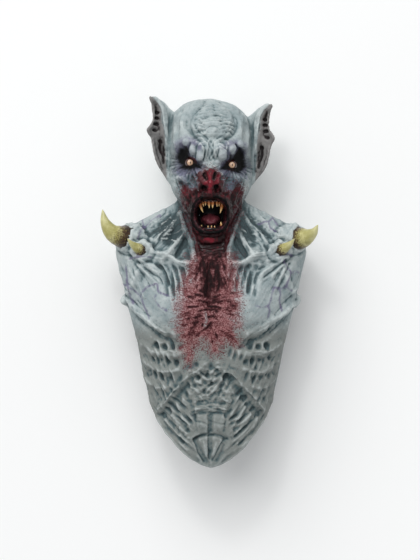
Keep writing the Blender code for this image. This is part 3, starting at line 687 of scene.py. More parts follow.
# %% [markdown]
# Straps of muscle run from the jaw to the collarbone and the shoulders, with deep hollows between
# them. Fine threads lie along every strap, and across the hollows. The CAD skin already has the
# straps as large forms, and the strokes only sharpen them, so the mask's size stays the same.

# %% Neck and shoulders
NECK = [
    (9, 1.6, [(-68, 560), (-57, 516), (-41, 478), (-30, 453)]),
    (9, 1.6, [(64, 558), (50, 516), (39, 475), (34, 453)]),
    (8, 1.6, [(-60, 514), (-76, 490), (-90, 472), (-104, 456)]),
    (8, 1.6, [(64, 514), (80, 483), (91, 464)]),
    (8, 1.4, [(-68, 555), (-85, 527), (-104, 509), (-122, 497)]),
    (8, 1.4, [(69, 555), (89, 522), (104, 506), (121, 492)]),
    (9, 1.4, [(-50, 442), (-70, 448), (-92, 460), (-129, 470), (-144, 490)]),
    (9, 1.4, [(47, 441), (70, 450), (94, 461), (124, 464), (146, 484)]),
    (6, 2.2, [(-104, 456), (-122, 459), (-142, 462)]),
    (9, -3.4, [(-73, 528), (-82, 510), (-96, 488)]),
    (9, -3.4, [(76, 528), (86, 508), (97, 486)]),
    (9, -3.4, [(-52, 498), (-64, 478), (-74, 462)]),
    (9, -3.4, [(54, 498), (62, 478), (72, 462)]),
    (8, -3.0, [(-104, 516), (-112, 498), (-124, 482)]),
    (8, -3.0, [(104, 514), (112, 496), (122, 478)]),
    (7, -2.4, [(-92, 540), (-112, 524), (-134, 508)]),
    (7, -2.4, [(90, 540), (110, 524), (130, 506)]),
    (5, 1.8, [(-62, 520), (-78, 512), (-94, 508)]),
    (5, 1.8, [(66, 520), (82, 512), (98, 506)]),
    (5, 1.8, [(-74, 492), (-88, 496), (-106, 500)]),
    (5, 1.8, [(78, 490), (92, 492), (108, 496)]),
]
strokes(NECK, chest)
threads(chest * step_up(side, 56, 70) * step_up(up, 446, 462) * (1 - step_up(side, 158, 180)), 2.8)
threads(chest * step_up(side, 24, 44) * step_up(up, 446, 462) * (1 - step_up(side, 56, 70)), 1.4)
HORN_ROOTS = ((178, 501, 31), (151, 473, 19))  # each one's place and the radius of its ring of skin
RING_FLATNESS, FURROW_BEYOND = 0.92, 11
for way in (-1, 1):
    for root_across, root_up, ring in HORN_ROOTS:
        out = np.hypot(across - way * root_across, (up - root_up) / RING_FLATNESS)
        lumps = 1 + 0.6 * uneven(points, 7, 45)
        relief += chest * 4.2 * lumps * band(out, ring, 8)
        relief -= chest * 2.4 * band(out - ring, FURROW_BEYOND, 5)
measured("neck")

# %% [markdown]
# The breast is drawn in long threads that hang from the collarbone, and in a fan that spreads from
# the front of the shoulder. A band of skin over the arm's root is wrinkled and veined.

# %% Breast and arm roots
BREAST = [
    (10, 2.0, [(-176, 444), (-168, 420), (-155, 396), (-146, 376)]),
    (10, 2.0, [(170, 440), (162, 416), (151, 392), (144, 372)]),
    (8, -2.0, [(-190, 356), (-152, 322), (-112, 288), (-86, 272)]),
    (8, -2.0, [(184, 346), (149, 312), (108, 282), (76, 268)]),
    (7, -2.4, [(-186, 374), (-168, 358), (-150, 343), (-134, 331)]),
    (7, -2.4, [(-126, 318), (-106, 302), (-88, 290)]),
    (7, -2.4, [(180, 364), (160, 345), (142, 331)]),
    (7, -2.4, [(132, 318), (112, 304), (88, 291)]),
    (5, -2.0, [(-182, 384), (-158, 362), (-140, 342)]),
    (5, -2.0, [(176, 374), (154, 352), (138, 334)]),
    (5, -2.6, [(-4, 446), (-6, 410), (-5, 370), (-6, 330)]),
    (6, -3.0, [(46, 430), (42, 408), (35, 384)]),
    (8, 2.2, [(-52, 440), (-46, 410), (-40, 380)]),
    (8, 2.2, [(54, 438), (50, 408), (44, 380)]),
]
BREAST_GROOVES = [
    (-104, 438, -98, 414, -93, 398), (-88, 436, -82, 400, -78, 372), (-74, 434, -71, 408, -70, 392),
    (-60, 430, -58, 404, -57, 378), (-117, 434, -110, 416, -106, 402),
    (61, 432, 59, 402, 56, 376), (75, 436, 73, 410, 70, 394), (87, 438, 84, 408, 79, 384),
    (101, 438, 98, 418, 95, 404),
]
GROOVE_REACH, GROOVE_SINK = (8, 13), (-3.6, -2.0)
strokes(BREAST, chest)
groove_shake = np.random.default_rng(31)
for a, b, c, d, e, f in BREAST_GROOVES:
    reach, sink = groove_shake.uniform(*GROOVE_REACH), groove_shake.uniform(*GROOVE_SINK)
    strokes([(reach, sink, [(a, b), (c, d), (e, f)])], chest)
spots([((-192, 366), (12, 13), 4.0, 0), ((183, 356), (12, 13), 4.0, 0)], chest)
FAN_ROOTS = [(-186, 470), (180, 466)]
BLADES, FIRST_BLADE, BLADE_STEP = 8, 16, 7.5  # how many, and their angles in degrees
BLADE_START, BLADE_STOP = (20, 38), (66, 100)
for root_across, root_up in FAN_ROOTS:
    way = math.copysign(1, root_across)
    for blade in range(BLADES):
        angle = math.radians(FIRST_BLADE + BLADE_STEP * blade)
        start, stop = groove_shake.uniform(*BLADE_START), groove_shake.uniform(*BLADE_STOP)
        route = [
            (root_across - way * r * math.cos(angle), root_up - r * math.sin(angle))
            for r in (start, (start + stop) / 2, stop)
        ]
        strokes([(7, -3.8 if blade % 2 else 2.4, route)], chest)
    out = np.hypot(across - root_across, up - root_up)
    threads(chest * step_up(out, 14, 24) * (1 - step_up(out, 80, 105)) * step_up(460 - up, 0, 12), 2.6)
threads(chest * step_up(up, 372, 396) * (1 - step_up(up, 440, 452)) * step_up(side, 46, 60), 2.2)
threads(chest * step_up(up, 290, 330) * (1 - step_up(up, 392, 440)) * step_up(side, 40, 60), 0.9)
threads(chest * step_up(side, 150, 172) * step_up(up, 340, 372) * (1 - step_up(up, 458, 474)), 1.8)
BREAST_FOLDS = (
    [(-192, 366), (-152, 332), (-104, 290), (-86, 280)],
    [(184, 354), (148, 322), (104, 288), (78, 276)],
)
for fold in BREAST_FOLDS:
    near_fold = near_line(fold, 20, across, up)
    relief += chest * near_fold * (2.6 * uneven(points, 15, 57) + 1.4 * uneven(points, 6, 58))
    threads(chest * near_fold, 2.0)
relief += chest * step_up(side, 140, 165) * 0.9 * uneven(points, 8, 56)
measured("breast")

# %% [markdown]
# Below the breast the skin clings to the ribs. Between the ribs lie rows of small pits, each with a
# web of skin next to it, and on the flanks the ribs turn into slanting lines. A loop sets each row
# out, and a seeded shake moves, leans and stretches every pit, because a sculptor's are never even.

# %% Ribs and flanks
PIT_ROWS = (
    ((-116, -101, -87, -74), (269, 271, 272, 274), (7.5, 15), -4.0),
    ((70, 88, 104, 115, 127), (270, 270, 268, 269, 268), (8.0, 14), -4.0),
    ((-124, -112, -100, -90, -80, -68), (236, 234, 232, 232, 233, 236), (6.5, 17), -3.6),
    ((38, 52, 70, 88, 105, 122), (246, 243, 240, 234, 228, 226), (7.0, 17), -3.6),
    ((-134, -122, -110, -98, -86), (212, 204, 198, 192, 196), (6.5, 19), -3.2),
    ((78, 96, 112, 128, 142), (198, 194, 198, 202, 208), (7.0, 17), -3.2),
    ((-140, -128, -118, -106), (176, 168, 160, 160), (6.0, 17), -2.8),
    ((98, 112, 127, 140), (168, 172, 172, 178), (6.0, 17), -2.8),
    ((104, 116, 128), (146, 148, 150), (6.0, 14), -2.6),
)
PIT_LEAN, PIT_GROW = 14, (0.75, 1.3)
WEB_BESIDE, WEB_HALF, WEB_RISE = 6.5, 4.5, 1.2
pit_shake = np.random.default_rng(37)
for row_across, row_up, size, sink in PIT_ROWS:
    for pit_across, pit_up in zip(row_across, row_up):
        way = math.copysign(1, pit_across)
        lean = -way * (PIT_LEAN + pit_shake.normal(0, 6))
        middle = (pit_across + pit_shake.normal(0, 2), pit_up + pit_shake.normal(0, 3))
        grow = pit_shake.uniform(*PIT_GROW)
        spots([(middle, (size[0], size[1] * grow), sink * grow, lean)], chest)
        web = (middle[0] + WEB_BESIDE, middle[1])
        spots([(web, (WEB_HALF, 1.2 * size[1] * grow), WEB_RISE, lean)], chest)
        slant = math.radians(lean)
        dx, dy = math.sin(slant) * size[1], -math.cos(slant) * size[1]
        GUIDES.append([(middle[0] + dx, middle[1] + dy), (middle[0] - dx, middle[1] - dy)])
RIBS = [
    (8, 1.8, [(-128, 250), (-100, 254), (-70, 254)]),
    (8, 1.8, [(60, 256), (96, 252), (134, 246)]),
    (8, 1.4, [(-142, 226), (-118, 216), (-94, 210), (-70, 214)]),
    (8, 1.4, [(50, 222), (84, 214), (116, 208), (140, 216)]),
    (6, -2.4, [(-146, 244), (-126, 218), (-104, 190), (-94, 176)]),
    (6, -2.4, [(-154, 250), (-134, 214), (-116, 182), (-106, 160)]),
    (6, -2.2, [(-158, 236), (-142, 206), (-126, 172), (-116, 148)]),
    (6, -2.4, [(140, 240), (122, 212), (104, 184)]),
    (6, -2.4, [(152, 246), (138, 214), (122, 184), (110, 160)]),
    (6, -2.2, [(156, 226), (146, 204), (130, 172), (118, 146)]),
]
strokes(RIBS, chest)
threads(chest * step_up(side, 60, 96) * (1 - step_up(up, 250, 280)) * step_up(up, 120, 140), 2.4)
threads(chest * step_up(up, 276, 290) * (1 - step_up(up, 312, 345)) * step_up(side, 90, 120), 1.0)
measured("ribs")

# %% [markdown]
# The rib cage ends in an arch. Under it the belly is sunken and crossed by folds; beneath these lie
# the blocks of the belly muscle, slanting bands at their sides and two smooth panels at the tip. The
# folds follow no pattern that a formula would give, so each is a stroke or a pit of its own.

# %% Belly
ARCHES = [
    [(-40, 222), (-57, 211), (-73, 188), (-93, 163), (-112, 138), (-121, 122)],
    [(28, 218), (40, 205), (66, 181), (91, 149), (113, 115)],
]
BELLY = [
    (5.5, 3.0, [(-26, 206), (-16, 198), (-7, 193), (2, 198), (12, 206)]),
    (5.5, 3.0, [(-34, 192), (-24, 186), (-13, 180), (-2, 186), (10, 196)]),
    (5.5, 3.0, [(-42, 176), (-30, 171), (-21, 164), (-8, 170), (8, 182)]),
    (5.5, 2.6, [(-46, 190), (-34, 172), (-24, 158), (-14, 146)]),
    (5.5, 2.6, [(24, 196), (14, 182), (4, 168), (-6, 156)]),
    (5.5, -2.6, [(30, 190), (24, 176), (16, 160), (10, 148)]),
    (5, -2.2, [(-34, 115), (-34, 98), (-30, 82)]),
    (5, -2.2, [(31, 116), (32, 98), (28, 82)]),
    (5, -3.4, [(-4.6, 114), (-4.2, 96), (-4.6, 78)]),
    (4.5, -1.8, [(-34, 102), (-20, 101), (-6, 94)]),
    (4.5, -1.8, [(-2, 103), (14, 99), (30, 96)]),
    (5, 2.0, [(-42, 66), (-30, 74), (-18, 78), (-4, 78), (10, 78), (22, 74), (32, 66)]),
    (5.5, -2.4, [(-38, 62), (-24, 70), (-5, 72), (12, 71), (28, 63)]),
    (4.5, -4.0, [(-36, 58), (-31, 44), (-24, 28), (-16, 14)]),
    (4.5, -4.4, [(-4.6, 70), (-4.8, 46), (-4.4, 20)]),
    (4.5, -4.0, [(27, 60), (22, 50), (14, 36), (4, 18)]),
    (6, 1.8, [(-16, 56), (-13, 40), (-10, 26)]),
    (6, 1.8, [(12, 56), (8, 42), (3, 28)]),
]
SLANTS = [
    (-85, 154, -64, 138, -41, 115), (-93, 141, -72, 124, -46, 102), (-97, 129, -78, 114, -54, 94),
    (-107, 117, -90, 98, -70, 76), (66, 154, 50, 134, 32, 115), (76, 139, 60, 120, 42, 106),
    (86, 124, 68, 108, 47, 97), (100, 115, 82, 94, 62, 78),
]
BELLY_FOLDS = [
    (-28, 34, 146), (-32, 30, 139), (-30, 36, 132), (-34, 34, 125), (-34, 32, 118), (-26, 20, 152),
]
BELLY_PITS = [
    ((-46, 206), (8, 10), -5.4, -30), ((-8, 206), (6, 9), -4.6, -30), ((12, 212), (7, 9), -4.8, 30),
    ((31, 198), (7, 10), -5.0, -35), ((-31, 226), (8, 7), -4.4, -20), ((17, 225), (10, 6), -4.2, 0),
    ((-28, 196), (6, 9), -4.4, -30), ((2, 186), (6, 9), -4.0, 20), ((-14, 168), (6, 8), -3.8, -20),
    ((-36, 180), (6, 9), -4.2, -25), ((20, 178), (6, 10), -4.2, -30), ((34, 176), (6, 9), -4.0, -30),
    ((-64, 184), (7, 10), -4.4, -50), ((-80, 164), (7, 10), -4.4, -50), ((60, 164), (8, 11), -4.8, -40),
    ((72, 150), (7, 11), -4.4, -40), ((90, 128), (7, 10), -4.4, -40), ((-52, 160), (6, 10), -3.8, 30),
    ((46, 158), (6, 10), -3.6, -30), ((-2, 150), (7, 4), -2.8, 0),
]
for arch in ARCHES:  # the ribs' lower edge is soft and torn, not a rail
    near_arch = near_line(arch, 16, across, up)
    relief += chest * near_arch * (-2.4 + 3.0 * uneven(points, 13, 70) + 1.4 * uneven(points, 6, 74))
strokes(BELLY, chest)
strokes([(7, -3.6, [(a, b), (c, d), (e, f)]) for a, b, c, d, e, f in SLANTS], chest)
strokes([(6, 1.6, [(a, b - 7), (c, d - 7), (e, f - 7)]) for a, b, c, d, e, f in SLANTS], chest)
strokes(creases_across(BELLY_FOLDS, 8, -2.2, reach=5, sag=2.5), chest)
spots(BELLY_PITS, chest)
nodules = near_line([(-72, 90), (-60, 76), (-46, 62)], 12, across, up)
nodules += near_line([(62, 92), (50, 74), (36, 58)], 12, across, up)
relief += chest * nodules * 2.6 * uneven(points, 5.5, 71)
RIM = [
    [(-118, 112), (-96, 78), (-66, 44), (-30, 14)], [(-104, 112), (-84, 82), (-56, 52), (-26, 28)],
    [(110, 104), (90, 74), (60, 42), (24, 12)], [(96, 104), (78, 78), (50, 50), (20, 26)],
]
strokes([(7, -1.8, route) for route in RIM], chest * step_up(side, 16, 30))
threads(chest * (1 - step_up(up, 112, 128)) * step_up(side, 30, 56), 2.6)
threads(chest * (1 - step_up(up, 150, 165)) * step_up(side, 36, 50), 1.4)
middle_belly = chest * (1 - step_up(side, 38, 60)) * step_up(up, 112, 124) * (1 - step_up(up, 214, 232))
relief += middle_belly * (1.3 * uneven(points, 7, 75) + 0.8 * uneven(points, 3.6, 76))
threads(middle_belly, 1.6)
breastbone = chest * (1 - step_up(side, 40, 70)) * step_up(up, 225, 245) * (1 - step_up(up, 440, 456))
relief += breastbone * (1.2 * uneven(points, 6, 77) + 0.8 * uneven(points, 3.2, 78))
relief += chest * 0.35 * uneven(points, 3.6, 79)
measured("belly")

# %% [markdown]
# Old skin and muscle look like drawn-out threads that follow the forms. They are combed here: on a
# flat canvas over the mask every place takes its direction from the strokes near it, and random
# dots are smeared along these directions. Each vertex then reads the canvas below it.

# %% Combed threads
CANVAS_STEP = 1.5  # millimetres between the canvas's places
COMB_STEP = 2.0  # millimetres that the comb moves at a time
CANVAS_ACROSS, CANVAS_UP = (-252, 253), (-24, 834)
GUIDE_SOFTNESS = 40  # square millimetres: how soon a guide gives way to its neighbour
DOT_BLUR, THREAD_SPREAD, THREAD_LIMIT = 1.6, 1.8, 1.2
canvas_across = np.arange(*CANVAS_ACROSS, CANVAS_STEP)
canvas_up = np.arange(*CANVAS_UP, CANVAS_STEP)
grid_up, grid_across = np.meshgrid(canvas_up, canvas_across, indexing="ij")


def thread_directions(guides):
    """Each canvas place's direction as a complex number, from the guides near it."""
    total = np.zeros(grid_up.shape, complex)
    for (ax, ay), (bx, by) in guides:
        dx, dy = bx - ax, by - ay
        run = dx * dx + dy * dy + 1e-6
        t = np.clip(((grid_across - ax) * dx + (grid_up - ay) * dy) / run, 0, 1)
        gap = (grid_across - ax - t * dx) ** 2 + (grid_up - ay - t * dy) ** 2
        total += complex(dx, dy) ** 2 / math.sqrt(run) / (gap + GUIDE_SOFTNESS) ** 2
    return np.exp(0.5j * np.angle(total))


def canvas_cells(at_across, at_up):
    """The canvas's row and column at these places, and how far each lies into its cell."""
    column = np.clip((at_across - canvas_across[0]) / CANVAS_STEP, 0, len(canvas_across) - 1.001)
    row = np.clip((at_up - canvas_up[0]) / CANVAS_STEP, 0, len(canvas_up) - 1.001)
    return row.astype(int), column.astype(int), row % 1, column % 1


def read(canvas, at_across, at_up):
    """The canvas's values at these places, mixed from the four cells round each."""
    row, column, v, u = canvas_cells(at_across, at_up)
    low = canvas[row, column] * (1 - u) + canvas[row, column + 1] * u
    high = canvas[row + 1, column] * (1 - u) + canvas[row + 1, column + 1] * u
    return low * (1 - v) + high * v


def combed(directions, width, length, seed):
    """Threads about width wide and length long, from about -1 to 1, at every vertex."""
    dots = np.random.default_rng(seed).standard_normal(grid_up.shape)
    pitch_up = np.fft.fftfreq(len(canvas_up), CANVAS_STEP)[:, None]
    pitch_across = np.fft.fftfreq(len(canvas_across), CANVAS_STEP)[None, :]
    blur = np.exp(-((pitch_up**2 + pitch_across**2) * (DOT_BLUR * width) ** 2))
    dots = np.fft.ifft2(np.fft.fft2(dots) * blur).real
    total = dots.copy()
    for way in (-1, 1):
        at_across, at_up, ahead = grid_across, grid_up, way * directions
        for _ in range(round(length / 2 / COMB_STEP)):
            at_across = at_across + ahead.real * COMB_STEP
            at_up = at_up + ahead.imag * COMB_STEP
            total = total + read(dots, at_across, at_up)
            row, column, _, _ = canvas_cells(at_across, at_up)
            here = directions[row, column]
            ahead = np.where((here * ahead.conj()).real < 0, -here, here)
    found = read(total / total.std() / THREAD_SPREAD, across, up)
    return np.clip(found, -THREAD_LIMIT, THREAD_LIMIT)


BROAD_THREAD, FINE_THREAD = (6.5, 44), (3.2, 24)  # width and length in millimetres
BROAD_SHARE, FINE_SHARE, EVERYWHERE = 0.62, 0.26, 0.2
skin_directions = thread_directions(GUIDES)
broad_threads = combed(skin_directions, *BROAD_THREAD, 41)
fine_threads = combed(skin_directions, *FINE_THREAD, 43)
relief += muscle * (BROAD_SHARE * broad_threads + FINE_SHARE * fine_threads)
relief += front * EVERYWHERE * fine_threads
print("combed along", len(GUIDES), "guides")

# %% [markdown]
# Now the strokes are pressed into the mesh. Each vertex moves along its own normal. A ray to the
# lining stops a furrow that would come through the wall, and no vertex may leave the CAD part's box,
# because the mask keeps its real size.

# %% Press the strokes in
STROKE_LIMIT = (-6.5, 7.0)
LATEX_LEFT = 1.4  # millimetres of wall that stay under the deepest furrow
WALL_SEARCH = 14  # millimetres that are searched for the lining
RAY_START = 1  # millimetres below the surface, so that a ray doesn't meet its own triangle
relief = np.clip(relief, *STROKE_LIMIT)
soft_normals = evened(normals, edges, [0.5] * 4)
soft_normals /= np.linalg.norm(soft_normals, axis=1)[:, None].clip(1e-6)
bm = bmesh.new()
bm.from_mesh(clay)
tree = BVHTree.FromBMesh(bm)
bm.free()
held = 0
for index in np.flatnonzero(relief < -RAY_START):
    inward = Vector(-soft_normals[index])
    start = Vector(places[index]) + inward * (RAY_START * MM)
    wall = tree.ray_cast(start, inward, WALL_SEARCH * MM)[3]
    if wall is None:
        continue
    deepest = LATEX_LEFT - RAY_START - wall / MM
    if relief[index] < deepest:
        relief[index] = min(deepest, 0)
        held += 1
print("furrows held back from the lining at", held, "vertices")
carved = places + soft_normals * (relief * MM)[:, None]
carved = np.clip(carved, np.array(cad_box[0]), np.array(cad_box[1]))
move_to(clay, carved)

# %% [markdown]
# A mask painter first washes dark paint over everything and wipes it off, so that it stays in the
# recesses, and then drags a nearly dry pale brush over the ridges. Here the same dark is also painted
# shade in the recesses, and the same pale is also a painted highlight on the ridges. How deep each
# vertex lies below its surroundings, at a fine and at a broad scale, says where both of them go, and
# the brush leaves streaks along the threads.

# %% Painted shade and highlight, with the wash and the dry brush, on recesses and ridges
FINE_ROUNDS, BROAD_ROUNDS = 10, 90
FINE_FULL, BROAD_DEEP, BROAD_HIGH = 1.0, 4.4, 3.5  # millimetres at which a paint is full
# A furrow this deep takes its painted shade in full, and a ridge this high its painted highlight.
DRAWN_FULL = 3  # a stroke this deep or high, in millimetres, takes the brush in full


def lift_above(rounds):
    """How far each vertex lies above (+) or below (-) the smoothed surface, in millimetres."""
    smooth = evened(carved, edges, [0.6] * rounds)
    return ((carved - smooth) * mesh_normals(clay)).sum(axis=1) / MM


fine_lift, broad_lift = lift_above(FINE_ROUNDS), lift_above(BROAD_ROUNDS)
shade_and_wash = 0.34 * np.clip(-fine_lift / FINE_FULL, 0, 1) + 0.72 * np.clip(-broad_lift / BROAD_DEEP, 0, 1)
highlight_and_drybrush = 0.5 * np.clip(fine_lift / FINE_FULL, 0, 1) + 0.5 * np.clip(broad_lift / BROAD_HIGH, 0, 1)
# The threads' grooves get painted shade and their crests a painted highlight.
shade_and_wash += front * 0.16 * np.clip(-fine_threads, 0, 1)
highlight_and_drybrush += front * 0.14 * np.clip(fine_threads, 0, 1)
# Along the strokes, furrows get painted shade with the wash and ridges a painted highlight with the dry
# brush.
brush_and_shade_share = on_face * (0.45 - 0.3 * step_up(level, 705, 725)) + 0.34 * chest * step_up(up, 440, 460)
stroke_shade_and_highlight = np.clip(drawn / DRAWN_FULL, -1, 1) * brush_and_shade_share
shade_and_wash += np.clip(-stroke_shade_and_highlight, 0, 1)
highlight_and_drybrush += np.clip(stroke_shade_and_highlight, 0, 1)
shade_and_wash *= 1 - 0.75 * on_face * step_up(side, 58, 74) * step_up(level, 650, 690)
print("shade_and_wash", round(float(shade_and_wash.mean()), 3), "highlight_and_drybrush", round(float(highlight_and_drybrush.mean()), 3))

# %% [markdown]
# The hollows of the neck and belly get extra painted shade, laid on as more of the dark wash. A
# painted picture could say where, but it would need a UV map and a file. A soft field on the vertices,
# one number from 0 to 1 for each, needs neither, and every other paint below is a field of the same kind.

# %% Painted shade and washes in the hollows
def ellipse_field(centre, radii, soft):
    """1 inside an ellipse and 0 outside it, with a soft edge."""
    out = np.hypot((across - centre[0]) / radii[0], (up - centre[1]) / radii[1])
    return 1 - step_up(out, 1 - soft, 1 + soft)


HOLLOW_SHADE_WASHES = [  # where, how wide and how strong
    ((-86, 520), (26, 34), 1.1), ((-116, 518), (34, 20), 0.4), ((74, 524), (22, 40), 0.7),
    ((-62, 476), (18, 26), 0.45), ((64, 474), (18, 24), 0.45), ((100, 512), (24, 18), 0.25),
    ((-4, 160), (60, 80), 0.12), ((-4, 60), (60, 60), 0.1), ((-66, 180), (14, 14), 0.3),
    ((62, 166), (14, 14), 0.3), ((-95, 130), (30, 40), 0.12), ((95, 130), (30, 40), 0.12),
    ((0, 12), (40, 26), 0.2), ((-80, 408), (30, 26), 0.2), ((80, 408), (26, 26), 0.2),
    ((-140, 420), (30, 30), 0.12), ((136, 416), (28, 30), 0.12),
]
# Each ellipse darkens a hollow with painted shade, laid on as dark wash.
for centre, radii, strength in HOLLOW_SHADE_WASHES:
    shade_and_wash = shade_and_wash + strength * chest * ellipse_field(centre, radii, 0.6)
THROAT_SIDES = (
    [(-70, 572), (-60, 540), (-48, 500), (-40, 476)],
    [(72, 580), (62, 545), (49, 505), (42, 476)],
)
# Beside the throat: painted shade, and the painted highlight taken away.
for route in THROAT_SIDES:
    throat_side_shade = near_line(route, 20, across, up, edge=0.7)
    shade_and_wash = shade_and_wash + 0.5 * front * throat_side_shade
    highlight_and_drybrush = highlight_and_drybrush * (1 - 0.8 * throat_side_shade)
print("recess with its washes", round(float(shade_and_wash.mean()), 3))

# %% [markdown]
# Black was brushed into the sockets in lashes that run out from the eye, it fills the nostrils, and
# it paints the lips. Inside the mouth the black is painted shade in its hollow. Noise that runs in
# rays round the eye tears the field's edge as those lashes do, and the lobes that hang over the socket
# are left bare.

# %% Black paint, and painted shade inside the mouth
black = np.zeros(len(places))
for outline, (eye_across, eye_up) in zip(SOCKETS, EYES):
    lashes = rays((eye_across * 0.9, eye_up), 7, 83) + 0.6 * rays((eye_across * 0.9, eye_up), 13, 84)
    depth = inside_gap(outline)
    halo = 0.4 * step_up(depth + 6 * lashes, -18, 0)
    black = np.maximum(black, np.maximum(halo, step_up(depth + 5 * lashes, -8, 9)))
lobe_field = np.zeros(len(places))
for centre, radii, _, turn in LOBES:
    lobe_field = np.maximum(lobe_field, near_spot(centre, radii, across, up, turn))
black *= 1 - 0.94 * step_up(lobe_field, 0.04, 0.4)
NOSTRILS = (
    [(-15, 640), (-12, 628)], [(10, 639), (6, 627)], [(-18, 608), (-13, 608)], [(8, 609), (13, 609)],
)
for nostril in NOSTRILS:
    black = np.maximum(black, near_line(nostril, 7, across, up, edge=0.7))
ragged_lip = lip_out + 0.09 * uneven(points, 5, 92)
# The lips are painted black; inside the mouth the black is painted shade.
in_mouth = on_face * (1 - step_up(ragged_lip, 1.02, 1.2)) * step_up(height, 120, 140)
in_mouth *= 1 - 0.3 * step_up(uneven(points, 3, 96), 0.15, 0.5) * step_up(lip_out, 0.9, 1.0)
black = np.maximum(black * np.clip(on_face * 1.5, 0, 1), in_mouth)
print("black over", round(float(black.mean()), 3), "of the vertices")

# %% [markdown]
# The blood on the chest was dragged sideways with a dry brush, and spattered round its edge. An
# outline gives its place, and threads that are combed along the brush's own strokes fray it. Plain
# noise would give round blots, which a brush never leaves.

# %% Blood
CHIN_LINE = 470  # above it the blood is the face's, below it the chest's
FACE_BLOOD = [
    (-13, 650), (-27, 636), (-30, 612), (-44, 606), (-62, 618), (-66, 594), (-60, 566), (-53, 540),
    (-43, 512), (-34, 478), (-38, 452), (42, 452), (37, 478), (47, 516), (57, 545), (65, 575),
    (70, 604), (60, 616), (42, 604), (30, 612), (26, 636), (13, 650),
]
CHEST_BLOOD = [
    (-36, 470), (-50, 448), (-52, 431), (-66, 400), (-77, 352), (-73, 306), (-62, 268), (-57, 234),
    (-45, 224), (-36, 244), (-30, 268), (-12, 262), (3, 246), (20, 250), (32, 274), (54, 268),
    (60, 300), (63, 340), (63, 378), (58, 420), (56, 448), (42, 470),
]
DRAG = [  # how the blood was dragged over the chest: down the middle and out to the sides
    ((-10, 450), (-14, 400)), ((0, 400), (-4, 370)), ((-10, 366), (-60, 384)), ((-10, 350), (-70, 344)),
    ((-10, 330), (-70, 306)), ((-10, 312), (-56, 272)), ((-38, 280), (-46, 230)), ((-40, 440), (-52, 404)),
    ((12, 366), (62, 378)), ((12, 350), (66, 338)), ((12, 330), (64, 300)), ((10, 312), (48, 268)),
    ((38, 440), (50, 404)), ((0, 300), (4, 250)),
]
BRISTLE, WIDE_BRISTLE = (2.2, 15), (5.0, 20)  # width and length in millimetres
drag_directions = thread_directions(DRAG)
dragged = combed(drag_directions, *BRISTLE, 47)
dragged_wide = combed(drag_directions, *WIDE_BRISTLE, 48)
face_gap, chest_gap = inside_gap(FACE_BLOOD), inside_gap(CHEST_BLOOD)
clumps = 9 * uneven(points, 10, 86)
near_face_blood = step_up(face_gap + clumps, -28, 6) * on_face
near_chest_blood = step_up(chest_gap + clumps, -26, 6) * chest
spatter = 0.62 * np.maximum(near_face_blood, near_chest_blood)
spatter *= 1 - step_up(level, 630, 652) * step_up(side, 10, 20)
face_depth = face_gap + 6 * uneven(points, 9, 87) + 6 * uneven(points, 19, 99) + 4 * fine_threads
face_blood = step_up(face_depth, -8, 18) * (1 - 0.3 * step_up(uneven(points, 4.5, 88), 0.1, 0.5))
chest_depth = chest_gap + 7 * dragged + 8 * uneven(points, 13, 89)
chest_blood = 0.95 * step_up(chest_depth, -20, 28) + 0.1 * dragged
pale_flake = near_line([(-12, 338), (-10, 322), (-14, 308)], 6, across, up)
chest_blood *= (1 - 0.8 * pale_flake) * (1 - 0.6 * ellipse_field((-14, 262), (13, 26), 0.5))
blood = np.where(up > CHIN_LINE, face_blood, np.maximum(chest_blood, face_blood))
blood = blood * np.clip(front * 1.6, 0, 1)
print("blood over", round(float(blood.mean()), 3), "of the vertices")

# %% [markdown]
# Thick blood dries nearly black, and thin or wet blood stays red. The face's is wet and dark with red
# patches, the chest's is dry, and darkest down the middle. Two more fields say how far each of them
# goes, so that the material can lay the darker paints over the blood.

# %% Clots and fresh blood
BRIGHT = [  # where the blood is fresh and red
    ((-1, 632), (20, 24), 0.75), ((0, 495), (20, 6), 0.5), ((-1, 600), (10, 10), 0.45),
    ((62, 610), (14, 12), 0.35), ((-60, 608), (14, 12), 0.3),
]
CORE_UP, CORE_HALF = [290, 340, 380, 450, 480], [5, 11, 15, 24, 34]  # how wide the dark middle is
clot = 1.05 + 0.3 * fine_threads + 0.4 * uneven(points, 5, 91) + 0.3 * uneven(points, 2.6, 93)
clot = np.clip(clot, 0, 1.3)
for centre, radii, strength in BRIGHT:
    clot -= strength * ellipse_field(centre, radii, 0.4)
core = 1 - step_up(side - np.interp(up, CORE_UP, CORE_HALF), -12, 12)
core *= step_up(up, 290, 400)
chest_clot = 0.22 + 0.56 * core + 0.22 * dragged_wide + 0.36 * dragged + 0.22 * step_up(chest_gap, 0, 34)
chest_clot += 0.22 * uneven(points, 6, 94)
clot = blood * np.clip(np.where(up > CHIN_LINE, clot, chest_clot), 0.0, 1.2)
fresh = blood * step_up(up, 452, 488) * (1 - black)
print("clots over", round(float(clot.mean()), 3), "and fresh blood over", round(float(fresh.mean()), 3))

# %% [markdown]
# Violet veins branch over the shoulders and the breast, the troughs of the ears are grey-brown, the
# skin round the eyes is bruised, and the lids, gums and tongue are raw flesh. Painted shade darkens the
# ears' recesses and, with a greyer tone, the lower chest. Routes, lines and ellipses are enough to
# place all of these.

